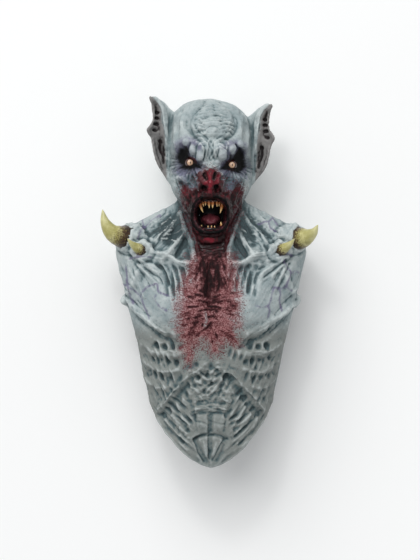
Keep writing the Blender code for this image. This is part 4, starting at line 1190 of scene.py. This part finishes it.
# %% Veins, ears, bruises, flesh and painted shade
VEINS = [
    [(-153, 544), (-150, 535), (-148, 527), (-132, 540), (-112, 552)],
    [(-148, 527), (-156, 514), (-160, 500)],
    [(116, 536), (126, 538), (135, 544), (146, 530)], [(126, 538), (130, 524), (142, 516)],
    [(116, 536), (104, 532)], [(135, 544), (140, 556)], [(-178, 456), (-160, 460), (-131, 459)],
    [(-186, 439), (-184, 416), (-181, 395), (-168, 386), (-156, 376), (-145, 349), (-134, 324)],
    [(-192, 400), (-181, 395)], [(-181, 395), (-178, 374), (-170, 356)],
    [(-153, 376), (-140, 393), (-128, 398), (-118, 401), (-114, 384), (-100, 378), (-85, 373)],
    [(-120, 376), (-122, 368), (-118, 360), (-108, 350), (-96, 343)],
    [(160, 456), (166, 438), (174, 423), (168, 408), (163, 395), (148, 390), (138, 393), (132, 378),
     (130, 368), (124, 354), (110, 350), (97, 354)],
    [(149, 393), (151, 378), (149, 365), (152, 354), (155, 343)], [(124, 354), (127, 342), (124, 328)],
    [(174, 423), (186, 428), (196, 424)], [(163, 395), (176, 386)], [(150, 462), (166, 466), (180, 462)],
]
vein = np.zeros(len(places))
for route in VEINS:
    vein = np.maximum(vein, near_line(route, 5.2, across, up, edge=0.9))
vein *= chest * np.clip(0.85 + 0.35 * uneven(points, 14, 81), 0.1, 1.2)

EAR_EDGE = [  # how far up, and how far from the midline the ear's dark side begins
    (650, 97), (700, 101), (722, 100), (735, 103), (750, 109), (772, 110), (794, 118), (812, 132),
]
ear = on_ear * step_up(side - np.interp(level, *zip(*EAR_EDGE)), -3, 5)
# The ear's recesses get the dark wash and painted shade, stronger than elsewhere.
pit = ear * np.clip(shade_and_wash * 1.25, 0, 1)
tint = np.zeros(len(places))
for eye_across, eye_up in EYES:
    tint = np.maximum(tint, ellipse_field((eye_across * 1.12, eye_up - 10), (36, 30), 0.5))
    tint = np.maximum(tint, ellipse_field((eye_across * 1.1, eye_up + 34), (30, 22), 0.5))
    bruise = on_face * ellipse_field((eye_across * 0.95, 619), (24, 18), 0.6)
    tint = np.maximum(tint, bruise)
    shade_and_wash = shade_and_wash + 0.45 * bruise
    highlight_and_drybrush = highlight_and_drybrush * (1 - 0.6 * bruise)
tint = tint * on_face * (0.75 + 0.5 * uneven(points, 12, 82)) * (1 - 0.7 * step_up(lobe_field, 0.1, 0.6))
lid = np.zeros(len(places))
for eye_across, eye_up in EYES:
    lid = np.maximum(lid, 1 - step_up(out_of_eye(eye_across, eye_up), LID_RADIUS, 14.5))
lid *= on_face
# The lower chest is darker: partly a greyer tone, partly painted shade as the light from the crown falls
# off. Its painted highlight is weaker too.
lower_tone_and_shade = chest * (1 - step_up(up, 265, 350))
highlight_and_drybrush = highlight_and_drybrush * (1 - 0.35 * lower_tone_and_shade)
tongue = near_spot((-1, 541), (31, 19), across, up) * 1.5 * front * (1 - step_up(lip_out, 0.85, 0.98))
gum = on_face * (1 - step_up(lip_out, 0.9, 1.04))
gum *= np.maximum(step_up(up, 566, 576), step_up(lip_out, 0.66, 0.8))
flesh = np.clip(np.maximum(tongue, 0.5 * gum) * (0.85 + 0.6 * uneven(points, 4, 98)), 0, 1)
print("veins over", round(float(vein.mean()), 3), "and flesh over", round(float(flesh.mean()), 3))

# %% [markdown]
# The fields are stored as colour attributes, three to a set, and the mesh is thinned where it is
# flat. Thinning mixes the attributes of the vertices it joins, so the paint stays where it was.

# %% Store the paint and thin the skin
SKIN_TRIANGLES = 192000
PAINT_SETS = {
    "wash_and_shade": {"shade_and_wash": shade_and_wash, "highlight_and_drybrush": highlight_and_drybrush, "black": black},
    "stain": {"blood": blood, "clot": clot, "fresh": fresh},
    "zone": {"ear": ear, "pit": pit, "lower_tone_and_shade": lower_tone_and_shade},
    "inside": {"flesh": flesh, "lid": lid, "tint": tint},
    "line": {"vein": vein, "lobe_highlight": lobe_field * on_face, "spatter": spatter},
}
for name, fields in PAINT_SETS.items():
    rows = np.ones((len(places), 4), np.float32)
    for channel, field in enumerate(fields.values()):
        rows[:, channel] = np.clip(field, 0, 1)
    attribute = clay.color_attributes.new(name, "FLOAT_COLOR", "POINT")
    attribute.data.foreach_set("color", rows.ravel())
skin_mesh = thinned(clay, SKIN_TRIANGLES)
skin_mesh.name = "mask_skin_painted"
skin = placed("mask_skin_painted", skin_mesh)
skin_mesh.shade_smooth()
skin.vertex_groups.clear()
print("skin", triangles_in(skin_mesh), "triangles")

# %% [markdown]
# Materials are small node trees. One helper adds a node, sets its values and plugs in its inputs, and
# colours are written as the eye sees them, in sRGB, and turned to linear light in one place.

# %% Colours and nodes
PER_METRE = 1 / MM  # a noise of this scale has lumps about a millimetre wide
RGBA = {"data_type": "RGBA"}
SMOOTH = {"interpolation_type": "SMOOTHSTEP"}


def linear(hex_colour):
    """An sRGB hex colour as linear red, green, blue and alpha."""
    channels = [int(hex_colour[i:i + 2], 16) / 255 for i in (1, 3, 5)]
    return [c / 12.92 if c <= 0.04045 else ((c + 0.055) / 1.055) ** 2.4 for c in channels] + [1.0]


def plug(tree, node, **links):
    """Fills a node's inputs. Each link is an input's name, or _ and its number, and a value."""
    for name, value in links.items():
        key = int(name[1:]) if name[0] == "_" else name.replace("_", " ")
        if isinstance(value, bpy.types.NodeSocket):
            tree.links.new(value, node.inputs[key])
        else:
            node.inputs[key].default_value = value


def add(tree, kind, settings=None, **links):
    """One node with its settings and links."""
    node = tree.nodes.new(kind)
    for name, value in (settings or {}).items():
        setattr(node, name, value)
    plug(tree, node, **links)
    return node


def new_material(name):
    made = bpy.data.materials.new(name)
    made.use_nodes = True
    return made, made.node_tree, made.node_tree.nodes["Principled BSDF"]


print("#808080 is", round(linear("#808080")[0], 3), "in linear light")

# %% [markdown]
# Cast latex, painted in washes: matt, pale blue-grey, with dark teal in the recesses that is both wash
# and painted shade, pale ridges that are both dry brush and painted highlight, violet veins and tacky
# stage blood. The matt paint hardly reflects; the wet places get a clear coat, which is what gives the
# glints on the muzzle and in the mouth.

# %% Painted cast latex, with painted shade and highlights
GRAIN_SIZE, MOTTLE_SIZE, BLOTCH_SIZE, PORE_SIZE, FOLD_SIZE = 2.4, 9, 38, 1.6, 4.5  # millimetres
PAINTS = [  # the field, how ragged its edge is, where it starts and is full, how much, and the colour
    # the lower chest: a greyer tone and painted shade
    ("lower_tone_and_shade", 0.2, 0.0, 1.0, 0.9, "#7A7E7A"),
    ("tint", 0.5, 0.05, 0.9, 0.8, "#625E7A"),
    # dark wash and painted shade in the recesses, nearly black where they are deepest
    ("shade_and_wash", 0.3, 0.05, 0.8, 0.86, "#44595D"),
    ("shade_and_wash", 0.3, 0.65, 1.3, 0.92, "#141C1F"),
    # dry brush and painted highlight on the ridges
    ("highlight_and_drybrush", 0.6, 0.1, 1.0, 0.7, "#C3CAC9"),
    # painted highlight on the middle of each brow lobe
    ("lobe_highlight", 0.3, 0.15, 0.9, 0.4, "#A6ADB6"),
    ("vein", 0.5, 0.25, 0.9, 0.72, "#5F5577"),
    ("ear", 0.5, 0.1, 0.9, 0.85, "#75706E"),
    # dark wash and painted shade in the ear's recesses
    ("pit", 0.4, 0.15, 1.0, 0.92, "#1A1718"),
    ("black", 0.5, 0.0, 0.6, 0.8, "#2F2F3D"),
    ("blood", 0.6, 0.0, 1.0, 0.92, "#A26C6C"),
    ("spatter", 3.0, 0.4, 0.8, 0.8, "#5A2026"),
    ("fresh", 0.6, 0.0, 0.55, 0.97, "#3E1B20"),
    ("fresh", 1.2, 0.3, 1.1, 0.92, "#7A1626"),
    ("clot", 0.5, 0.1, 0.8, 0.95, "#3A1418"),
    ("clot", 0.5, 0.5, 1.1, 0.97, "#120809"),
    ("lid", 0.2, 0.2, 0.8, 0.9, "#3A1010"),
    ("black", 0.4, 0.35, 0.95, 1.0, "#040405"),
    ("flesh", 0.9, 0.15, 1.0, 0.8, "#683038"),
]


def painted_latex():
    made, tree, shader = new_material("cast latex, painted in washes")
    where = add(tree, "ShaderNodeTexCoord").outputs["Object"]
    share = {}
    for attribute, fields in PAINT_SETS.items():
        stored = add(tree, "ShaderNodeAttribute", {"attribute_name": attribute}).outputs["Color"]
        split = add(tree, "ShaderNodeSeparateColor", Color=stored)
        for channel, field in enumerate(fields):
            share[field] = split.outputs[channel]
    grain, mottle, blotch, pores = [
        add(tree, "ShaderNodeTexNoise", Vector=where, Scale=PER_METRE / size, Detail=detail).outputs[0]
        for size, detail in ((GRAIN_SIZE, 5.0), (MOTTLE_SIZE, 4.0), (BLOTCH_SIZE, 3.0), (PORE_SIZE, 4.0))
    ]
    base = add(tree, "ShaderNodeMapRange", SMOOTH, Value=blotch, From_Min=0.35, From_Max=0.65).outputs[0]
    colour = add(
        tree, "ShaderNodeMix", RGBA, _0=base, _6=linear("#929EA0"), _7=linear("#ABB4B4"),
    ).outputs[2]
    cool = add(
        tree, "ShaderNodeMapRange", SMOOTH, Value=mottle, From_Min=0.5, From_Max=0.72, To_Max=0.4,
    ).outputs[0]
    colour = add(tree, "ShaderNodeMix", RGBA, _0=cool, _6=colour, _7=linear("#74878A")).outputs[2]
    for field, ragged, start, full, most, paint in PAINTS:
        torn = add(
            tree, "ShaderNodeMath", {"operation": "MULTIPLY_ADD"}, _0=grain, _1=ragged, _2=share[field],
        ).outputs[0]
        cover = add(
            tree, "ShaderNodeMapRange", SMOOTH, Value=torn,
            From_Min=start + ragged / 2, From_Max=full + ragged / 2, To_Max=most,
        ).outputs[0]
        colour = add(tree, "ShaderNodeMix", RGBA, _0=cover, _6=colour, _7=linear(paint)).outputs[2]
    wet = add(
        tree, "ShaderNodeMath", {"operation": "MAXIMUM"}, _0=share["fresh"], _1=share["flesh"],
    ).outputs[0]
    rough = add(tree, "ShaderNodeMapRange", Value=wet, To_Min=0.62, To_Max=0.42).outputs[0]
    coat = add(tree, "ShaderNodeMapRange", Value=wet, To_Min=0.0, To_Max=0.24).outputs[0]
    folds = add(
        tree, "ShaderNodeTexNoise",
        Vector=where, Scale=PER_METRE / FOLD_SIZE, Detail=4.0, Distortion=1.2,
    ).outputs[0]
    fine = add(tree, "ShaderNodeBump", Height=pores, Strength=0.3, Distance=0.6 * MM).outputs[0]
    broad = add(
        tree, "ShaderNodeBump", Height=folds, Strength=0.4, Distance=1.2 * MM, Normal=fine,
    ).outputs[0]
    plug(
        tree, shader, Base_Color=colour, Roughness=rough, Coat_Weight=coat, Coat_Roughness=0.12,
        IOR=1.52, Specular_IOR_Level=0.1, Normal=broad,
    )
    return made


skin.data.materials.append(painted_latex())
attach(skin, "root")
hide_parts("mask_skin")
print("skin painted in", len(PAINTS), "layers")

# %% [markdown]
# The eyes are half balls of clear acrylic over a painted iris. A sphere that is cut by a plane and
# closed gives the dome, in the place of the CAD eye. The iris needs no picture: the distance from the
# eye's middle colours it in rings, and a second, squeezed distance gives the upright pupil.

# %% Eyes
EYE_RADIUS, EYE_AROUND, EYE_ROWS = 11.5, 40, 24
PUPIL_OFFSET, PUPIL_SQUEEZE, IRIS_FLECK = 0.8, (2.3, 0.9, 0), 1.4  # millimetres, apart from the squeeze


def finished(name, bm, material, node):
    """A mesh piece in the scene that stands for a CAD node."""
    mesh = bpy.data.meshes.new(name)
    bm.to_mesh(mesh)
    bm.free()
    mesh.shade_smooth()
    mesh.materials.append(material)
    piece = placed(name, mesh)
    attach(piece, "root")
    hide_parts(node)


def eye_acrylic(centre):
    made, tree, shader = new_material("polished acrylic eye, painted from behind")
    where = add(tree, "ShaderNodeTexCoord").outputs["Object"]
    centred = add(tree, "ShaderNodeMapping", Vector=where, Location=-centre).outputs[0]
    flat = add(
        tree, "ShaderNodeVectorMath", {"operation": "MULTIPLY"}, _0=centred, _1=(1, 1, 0),
    ).outputs[0]
    out = add(tree, "ShaderNodeVectorMath", {"operation": "LENGTH"}, _0=flat).outputs["Value"]
    shifted = add(tree, "ShaderNodeMapping", Vector=centred, Location=(-PUPIL_OFFSET * MM, 0, 0)).outputs[0]
    narrow = add(
        tree, "ShaderNodeVectorMath", {"operation": "MULTIPLY"}, _0=shifted, _1=PUPIL_SQUEEZE,
    ).outputs[0]
    slit = add(tree, "ShaderNodeVectorMath", {"operation": "LENGTH"}, _0=narrow).outputs["Value"]
    flecks = add(
        tree, "ShaderNodeTexNoise", Vector=centred, Scale=PER_METRE / IRIS_FLECK, Detail=4.0,
    ).outputs[0]
    pale = add(tree, "ShaderNodeMapRange", SMOOTH, Value=flecks, From_Min=0.35, From_Max=0.65).outputs[0]
    iris = add(tree, "ShaderNodeMix", RGBA, _0=pale, _6=linear("#B4876C"), _7=linear("#DDBE9F")).outputs[2]
    edge = add(
        tree, "ShaderNodeMapRange", SMOOTH, Value=out, From_Min=5.0 * MM, From_Max=7.6 * MM,
    ).outputs[0]
    colour = add(tree, "ShaderNodeMix", RGBA, _0=edge, _6=iris, _7=linear("#2E0C0A")).outputs[2]
    pupil = add(
        tree, "ShaderNodeMapRange", SMOOTH,
        Value=slit, From_Min=2.0 * MM, From_Max=3.0 * MM, To_Min=1, To_Max=0,
    ).outputs[0]
    colour = add(tree, "ShaderNodeMix", RGBA, _0=pupil, _6=colour, _7=linear("#1A0A08")).outputs[2]
    plug(
        tree, shader, Base_Color=colour, Roughness=0.16, IOR=1.49, Coat_Weight=0.4, Coat_Roughness=0.04,
    )
    return made


for word in ("left", "right"):
    low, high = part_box("eye_" + word)
    centre = Vector(((low.x + high.x) / 2, (low.y + high.y) / 2, high.z - EYE_RADIUS * MM))
    bm = bmesh.new()
    bmesh.ops.create_uvsphere(bm, u_segments=EYE_AROUND, v_segments=EYE_ROWS, radius=EYE_RADIUS * MM)
    bmesh.ops.bisect_plane(
        bm, geom=bm.verts[:] + bm.edges[:] + bm.faces[:],
        plane_co=(0, 0, low.z - centre.z), plane_no=(0, 0, -1), clear_outer=True,
    )
    bmesh.ops.holes_fill(bm, edges=[edge for edge in bm.edges if edge.is_boundary])
    bmesh.ops.translate(bm, verts=bm.verts, vec=centre)
    bmesh.ops.recalc_face_normals(bm, faces=bm.faces)
    finished("eye_" + word + "_painted", bm, eye_acrylic(centre), "eye_" + word)
    print("eye", word, "at", tuple(round(number, 4) for number in centre))

# %% [markdown]
# The fangs are cast with their gum in dental acrylic: dark gum, brown-red at each tooth's neck, then
# amber, and cream at the tip. Each tooth is a tube that is drawn out in rings, narrowed and bent: a
# cone would be straight. Every ring keeps its share of the length as its tone, for the stains.

# %% Fangs and gums
UPPER_FANGS = [  # where the root and the tip are across, the length and the root's radius
    (-24, -17, 26, 5.2), (-17, -16, 13, 3.0), (-11.5, -12, 11, 3.0), (-4.4, -3.6, 17, 4.2),
    (3.8, 3.4, 17, 4.2), (12.4, 13.4, 14, 3.4), (18, 17, 13, 3.0), (24.5, 19.5, 28, 5.4),
]
LOWER_FANGS = [
    (-20, -21, 9, 2.8), (-6.4, -6.4, 7, 2.2), (1, 1, 7.5, 2.3), (7.8, 7.8, 7, 2.2), (23, 21, 16, 4.2),
]
UPPER_GUM, LOWER_GUM = 582, 520  # how far up each gum lies
GUM_REACH, GUM_FRONT, GUM_BACK, GUM_RADIUS = 27, 220, 200, 4.2
GUM_STOPS, GUM_SIDES, TOOTH_RINGS, TOOTH_SIDES = 25, 16, 9, 14
TOOTH_LEAN, TOOTH_CURL = 0.16, 0.14  # shares of a tooth's length
TOOTH_FLECK = 2.2  # millimetres


def gum_place(where_across, where_up):
    """A place on the gum's bow, whose middle lies higher than its ends."""
    bow = 1 - (where_across / GUM_REACH) ** 2
    return in_frame(where_across, where_up, GUM_BACK + (GUM_FRONT - GUM_BACK) * bow)


def rim_of(ring):
    """The edges that join the vertices of a ring."""
    return list({edge for v in ring for edge in v.link_edges if edge.other_vert(v) in ring})


def tube(bm, route, radii, sides, tones):
    """A closed round tube along the route, drawn out ring by ring from a circle."""
    layer = bm.verts.layers.float["tone"]
    ring = bmesh.ops.create_circle(bm, cap_ends=True, segments=sides, radius=1)["verts"]
    last = Matrix.Identity(4)
    for step, (place, radius) in enumerate(zip(route, radii)):
        if step:
            swept = bmesh.ops.extrude_edge_only(bm, edges=rim_of(ring))["geom"]
            ring = [item for item in swept if isinstance(item, bmesh.types.BMVert)]
        ahead = route[min(step + 1, len(route) - 1)] - route[max(step - 1, 0)]
        turn = ahead.to_track_quat("Z", "Y").to_matrix().to_4x4()
        here = Matrix.Translation(place) @ turn @ Matrix.Scale(radius, 4)
        bmesh.ops.transform(bm, matrix=here @ last.inverted(), verts=ring)
        last = here
        for v in ring:
            v[layer] = tones[step]
    bmesh.ops.holes_fill(bm, edges=rim_of(ring))


TOOTH_STAINS = [(0.06, 0.2, "#4A1C14"), (0.22, 0.45, "#A8622F"), (0.5, 0.9, "#E0BC82")]


def tooth_acrylic():
    made, tree, shader = new_material("dental acrylic, cast and stained")
    tone = add(tree, "ShaderNodeAttribute", {"attribute_name": "tone"}).outputs["Fac"]
    where = add(tree, "ShaderNodeTexCoord").outputs["Object"]
    flecks = add(
        tree, "ShaderNodeTexNoise", Vector=where, Scale=PER_METRE / TOOTH_FLECK, Detail=4.0,
    ).outputs[0]
    uneven_tone = add(
        tree, "ShaderNodeMath", {"operation": "MULTIPLY_ADD"}, _0=flecks, _1=0.4, _2=tone,
    ).outputs[0]
    colour = linear("#1A0A0B")
    for start, full, stain in TOOTH_STAINS:
        cover = add(
            tree, "ShaderNodeMapRange", SMOOTH,
            Value=uneven_tone, From_Min=start + 0.2, From_Max=full + 0.2,
        ).outputs[0]
        colour = add(tree, "ShaderNodeMix", RGBA, _0=cover, _6=colour, _7=linear(stain)).outputs[2]
    bump = add(tree, "ShaderNodeBump", Height=flecks, Strength=0.25, Distance=0.4 * MM).outputs[0]
    plug(
        tree, shader, Base_Color=colour, Roughness=0.2, Specular_IOR_Level=0.3,
        Coat_Weight=0.3, Coat_Roughness=0.08, Normal=bump,
    )
    return made


teeth_finish = tooth_acrylic()
for name, fangs, gum_up, way in (
    ("teeth_upper", UPPER_FANGS, UPPER_GUM, -1),
    ("teeth_lower", LOWER_FANGS, LOWER_GUM, 1),
):
    bm = bmesh.new()
    bm.verts.layers.float.new("tone")
    stops = np.linspace(-GUM_REACH, GUM_REACH, GUM_STOPS)
    gum_route = [gum_place(stop, gum_up) for stop in stops]
    gum_radii = [GUM_RADIUS * MM * (0.92 + 0.08 * math.cos(stop * 0.9)) for stop in stops]
    tube(bm, gum_route, gum_radii, GUM_SIDES, [0.0] * len(stops))
    for root_across, tip_across, length, radius in fangs:
        root = gum_place(root_across, gum_up)
        route, radii, tones = [], [], []
        for ring in range(TOOTH_RINGS + 1):
            share = ring / TOOTH_RINGS
            curl = TOOTH_CURL * length * share * (1 - share)
            swing = (tip_across - root_across) * share**2
            rise = TOOTH_LEAN * length * share + curl
            route.append(root + Vector((swing, way * length * share, rise)) * MM)
            radii.append((radius * (1 - share**1.5) * 0.94 + 0.35) * MM)
            tones.append(0.12 + 0.88 * share)
        tube(bm, route, radii, TOOTH_SIDES, tones)
    bmesh.ops.recalc_face_normals(bm, faces=bm.faces)
    finished(name + "_stained", bm, teeth_finish, name)
    print(name, len(fangs), "fangs")

# %% [markdown]
# The horns are cast resin: olive yellow and glossy towards the tip, with fine growth ridges, and
# dark brown specks crowding round the root. Their shape is the same curve as the CAD horn's.

# %% Shoulder horns
LARGE_HORN_LEFT = [(-180, 503, 156), (-199, 505, 170), (-217, 514, 182), (-230, 533, 189), (-237, 563, 192)]
LARGE_HORN_RIGHT = [(184, 500, 156), (199, 501, 174), (212, 505, 192), (224, 514, 206), (232, 529, 216)]
SMALL_HORN = [(149, 473, 186), (157, 477, 201), (166, 483, 212), (174, 490, 221), (181, 499, 227)]
LARGE_HORN_RADIUS, SMALL_HORN_RADIUS = 27, 14.5
HORN_RINGS, HORN_SIDES = 44, 40
GROWTH_HEIGHT, GROWTH_PITCH = 0.018, 60  # the growth ridges, as shares of the radius and the length
HORN_BLOTCH, HORN_SPECK = 14, 2.0  # millimetres


def horn_resin():
    made, tree, shader = new_material("cast resin horn, stained and lacquered")
    tone = add(tree, "ShaderNodeAttribute", {"attribute_name": "tone"}).outputs["Fac"]
    where = add(tree, "ShaderNodeTexCoord").outputs["Object"]
    blotch, specks = [
        add(tree, "ShaderNodeTexNoise", Vector=where, Scale=PER_METRE / size, Detail=detail).outputs[0]
        for size, detail in ((HORN_BLOTCH, 4.0), (HORN_SPECK, 6.0))
    ]
    clouds = add(tree, "ShaderNodeMapRange", SMOOTH, Value=blotch, From_Min=0.35, From_Max=0.7).outputs[0]
    colour = add(
        tree, "ShaderNodeMix", RGBA, _0=clouds, _6=linear("#A19A58"), _7=linear("#C8C28A"),
    ).outputs[2]
    tip = add(
        tree, "ShaderNodeMapRange", SMOOTH, Value=tone, From_Min=0.45, From_Max=0.95, To_Max=0.5,
    ).outputs[0]
    colour = add(tree, "ShaderNodeMix", RGBA, _0=tip, _6=colour, _7=linear("#C9C79A")).outputs[2]
    stain = add(
        tree, "ShaderNodeMapRange", SMOOTH, Value=tone, From_Min=0.12, From_Max=0.6, To_Min=1, To_Max=0,
    ).outputs[0]
    stain = add(
        tree, "ShaderNodeMath", {"operation": "MULTIPLY_ADD"}, _0=specks, _1=2.6, _2=stain,
    ).outputs[0]
    for start, full, paint in ((1.62, 1.9, "#4C3420"), (2.0, 2.35, "#1C130D")):
        cover = add(
            tree, "ShaderNodeMapRange", SMOOTH, Value=stain, From_Min=start, From_Max=full,
        ).outputs[0]
        colour = add(tree, "ShaderNodeMix", RGBA, _0=cover, _6=colour, _7=linear(paint)).outputs[2]
    bump = add(tree, "ShaderNodeBump", Height=specks, Strength=0.3, Distance=0.5 * MM).outputs[0]
    plug(
        tree, shader, Base_Color=colour, Roughness=0.34, Specular_IOR_Level=0.3,
        Coat_Weight=0.25, Coat_Roughness=0.15, Normal=bump,
    )
    return made


horn_finish = horn_resin()
for side_word, way in (("left", -1), ("right", 1)):
    for size, radius in (("large", LARGE_HORN_RADIUS), ("small", SMALL_HORN_RADIUS)):
        if size == "large":
            points_on = LARGE_HORN_LEFT if way < 0 else LARGE_HORN_RIGHT
        else:
            points_on = [(a * way, b, c) for a, b, c in SMALL_HORN]
        route = [in_frame(*place) for place in smooth_route(points_on, HORN_RINGS + 1)]
        radii, tones = [], []
        for ring in range(HORN_RINGS + 1):
            share = ring / HORN_RINGS
            growth = 1 + GROWTH_HEIGHT * math.sin(share * GROWTH_PITCH) * (1 - share)
            radii.append((radius * (1 - share**1.25) ** 0.9 * growth + 0.6) * MM)
            tones.append(share)
        bm = bmesh.new()
        bm.verts.layers.float.new("tone")
        tube(bm, route, radii, HORN_SIDES, tones)
        bmesh.ops.recalc_face_normals(bm, faces=bm.faces)
        node = f"horn_{size}_{side_word}"
        finished(node + "_stained", bm, horn_finish, node)
        print(node, "root radius", radius, "mm")

# %% [markdown]
# The mask lies on a plain pale floor, larger than any view needs, so that its edge never shows.

# %% Floor
FLOOR_HALF = 12.0  # metres
CLOUD_SIZE = 900  # millimetres


def matt_paint():
    made, tree, shader = new_material("matt white studio paint")
    where = add(tree, "ShaderNodeTexCoord").outputs["Object"]
    cloud = add(tree, "ShaderNodeTexNoise", Vector=where, Scale=PER_METRE / CLOUD_SIZE).outputs[0]
    colour = add(
        tree, "ShaderNodeMix", RGBA, _0=cloud, _6=linear("#F4F4F3"), _7=linear("#F8F8F7"),
    ).outputs[2]
    plug(tree, shader, Base_Color=colour, Roughness=0.9)
    return made


bm = bmesh.new()
bmesh.ops.create_grid(bm, x_segments=1, y_segments=1, size=FLOOR_HALF)
mesh = bpy.data.meshes.new("floor")
bm.to_mesh(mesh)
bm.free()
mesh.materials.append(matt_paint())
floor = placed("floor", mesh)
print("floor", 2 * FLOOR_HALF, "m wide")

# %% [markdown]
# Product pictures of masks are lit by large soft lights. A broad key stands above the crown, to the
# left, a small lamp beside it makes the wet places glint, and an even pale sky opens the shadows.

# %% Lights and camera
scene = bpy.context.scene
scene.view_settings.view_transform = "Standard"


def lamp(kind, name, place, aim, energy, **settings):
    light = bpy.data.lights.new(name, kind)
    light.energy = energy
    for key, value in settings.items():
        setattr(light, key, value)
    hung = bpy.data.objects.new(name, light)
    hung.location = place
    hung.rotation_euler = (Vector(place) - Vector(aim)).to_track_quat("Z", "Y").to_euler()
    scene.collection.objects.link(hung)


lamp("SUN", "key", (-0.9, 2.3, 2.6), (0, 0.1, 0.1), 1.8, angle=math.radians(60))
lamp("AREA", "glint", (-0.6, 1.8, 2.6), (0, 0.2, 0.1), 12, size=0.5)
sky = bpy.data.worlds.new("studio")
sky.use_nodes = True
plug(sky.node_tree, sky.node_tree.nodes["Background"], Color=linear("#F4F6F8"), Strength=0.6)
scene.world = sky

LENS, SENSOR = 150.0, 36.0  # millimetres
PICTURE_HEIGHT, MM_PER_PIXEL = 560, 2.2
FRAME_HEIGHT = PICTURE_HEIGHT * MM_PER_PIXEL * MM  # what the picture takes in at the middle height
MIDDLE_HEIGHT = 150  # millimetres above the floor
PICTURE_MIDDLE = (-2.2, 409.2)  # across and up
camera_data = bpy.data.cameras.new("camera")
camera_data.lens = LENS
camera_data.sensor_width = SENSOR
camera_data.clip_end = 60
camera = bpy.data.objects.new("camera", camera_data)
distance = FRAME_HEIGHT * LENS / SENSOR
camera.location = in_frame(*PICTURE_MIDDLE, MIDDLE_HEIGHT) + Vector((0, 0, distance))
scene.collection.objects.link(camera)
scene.camera = camera
print("camera", round(distance, 2), "m above the mask")
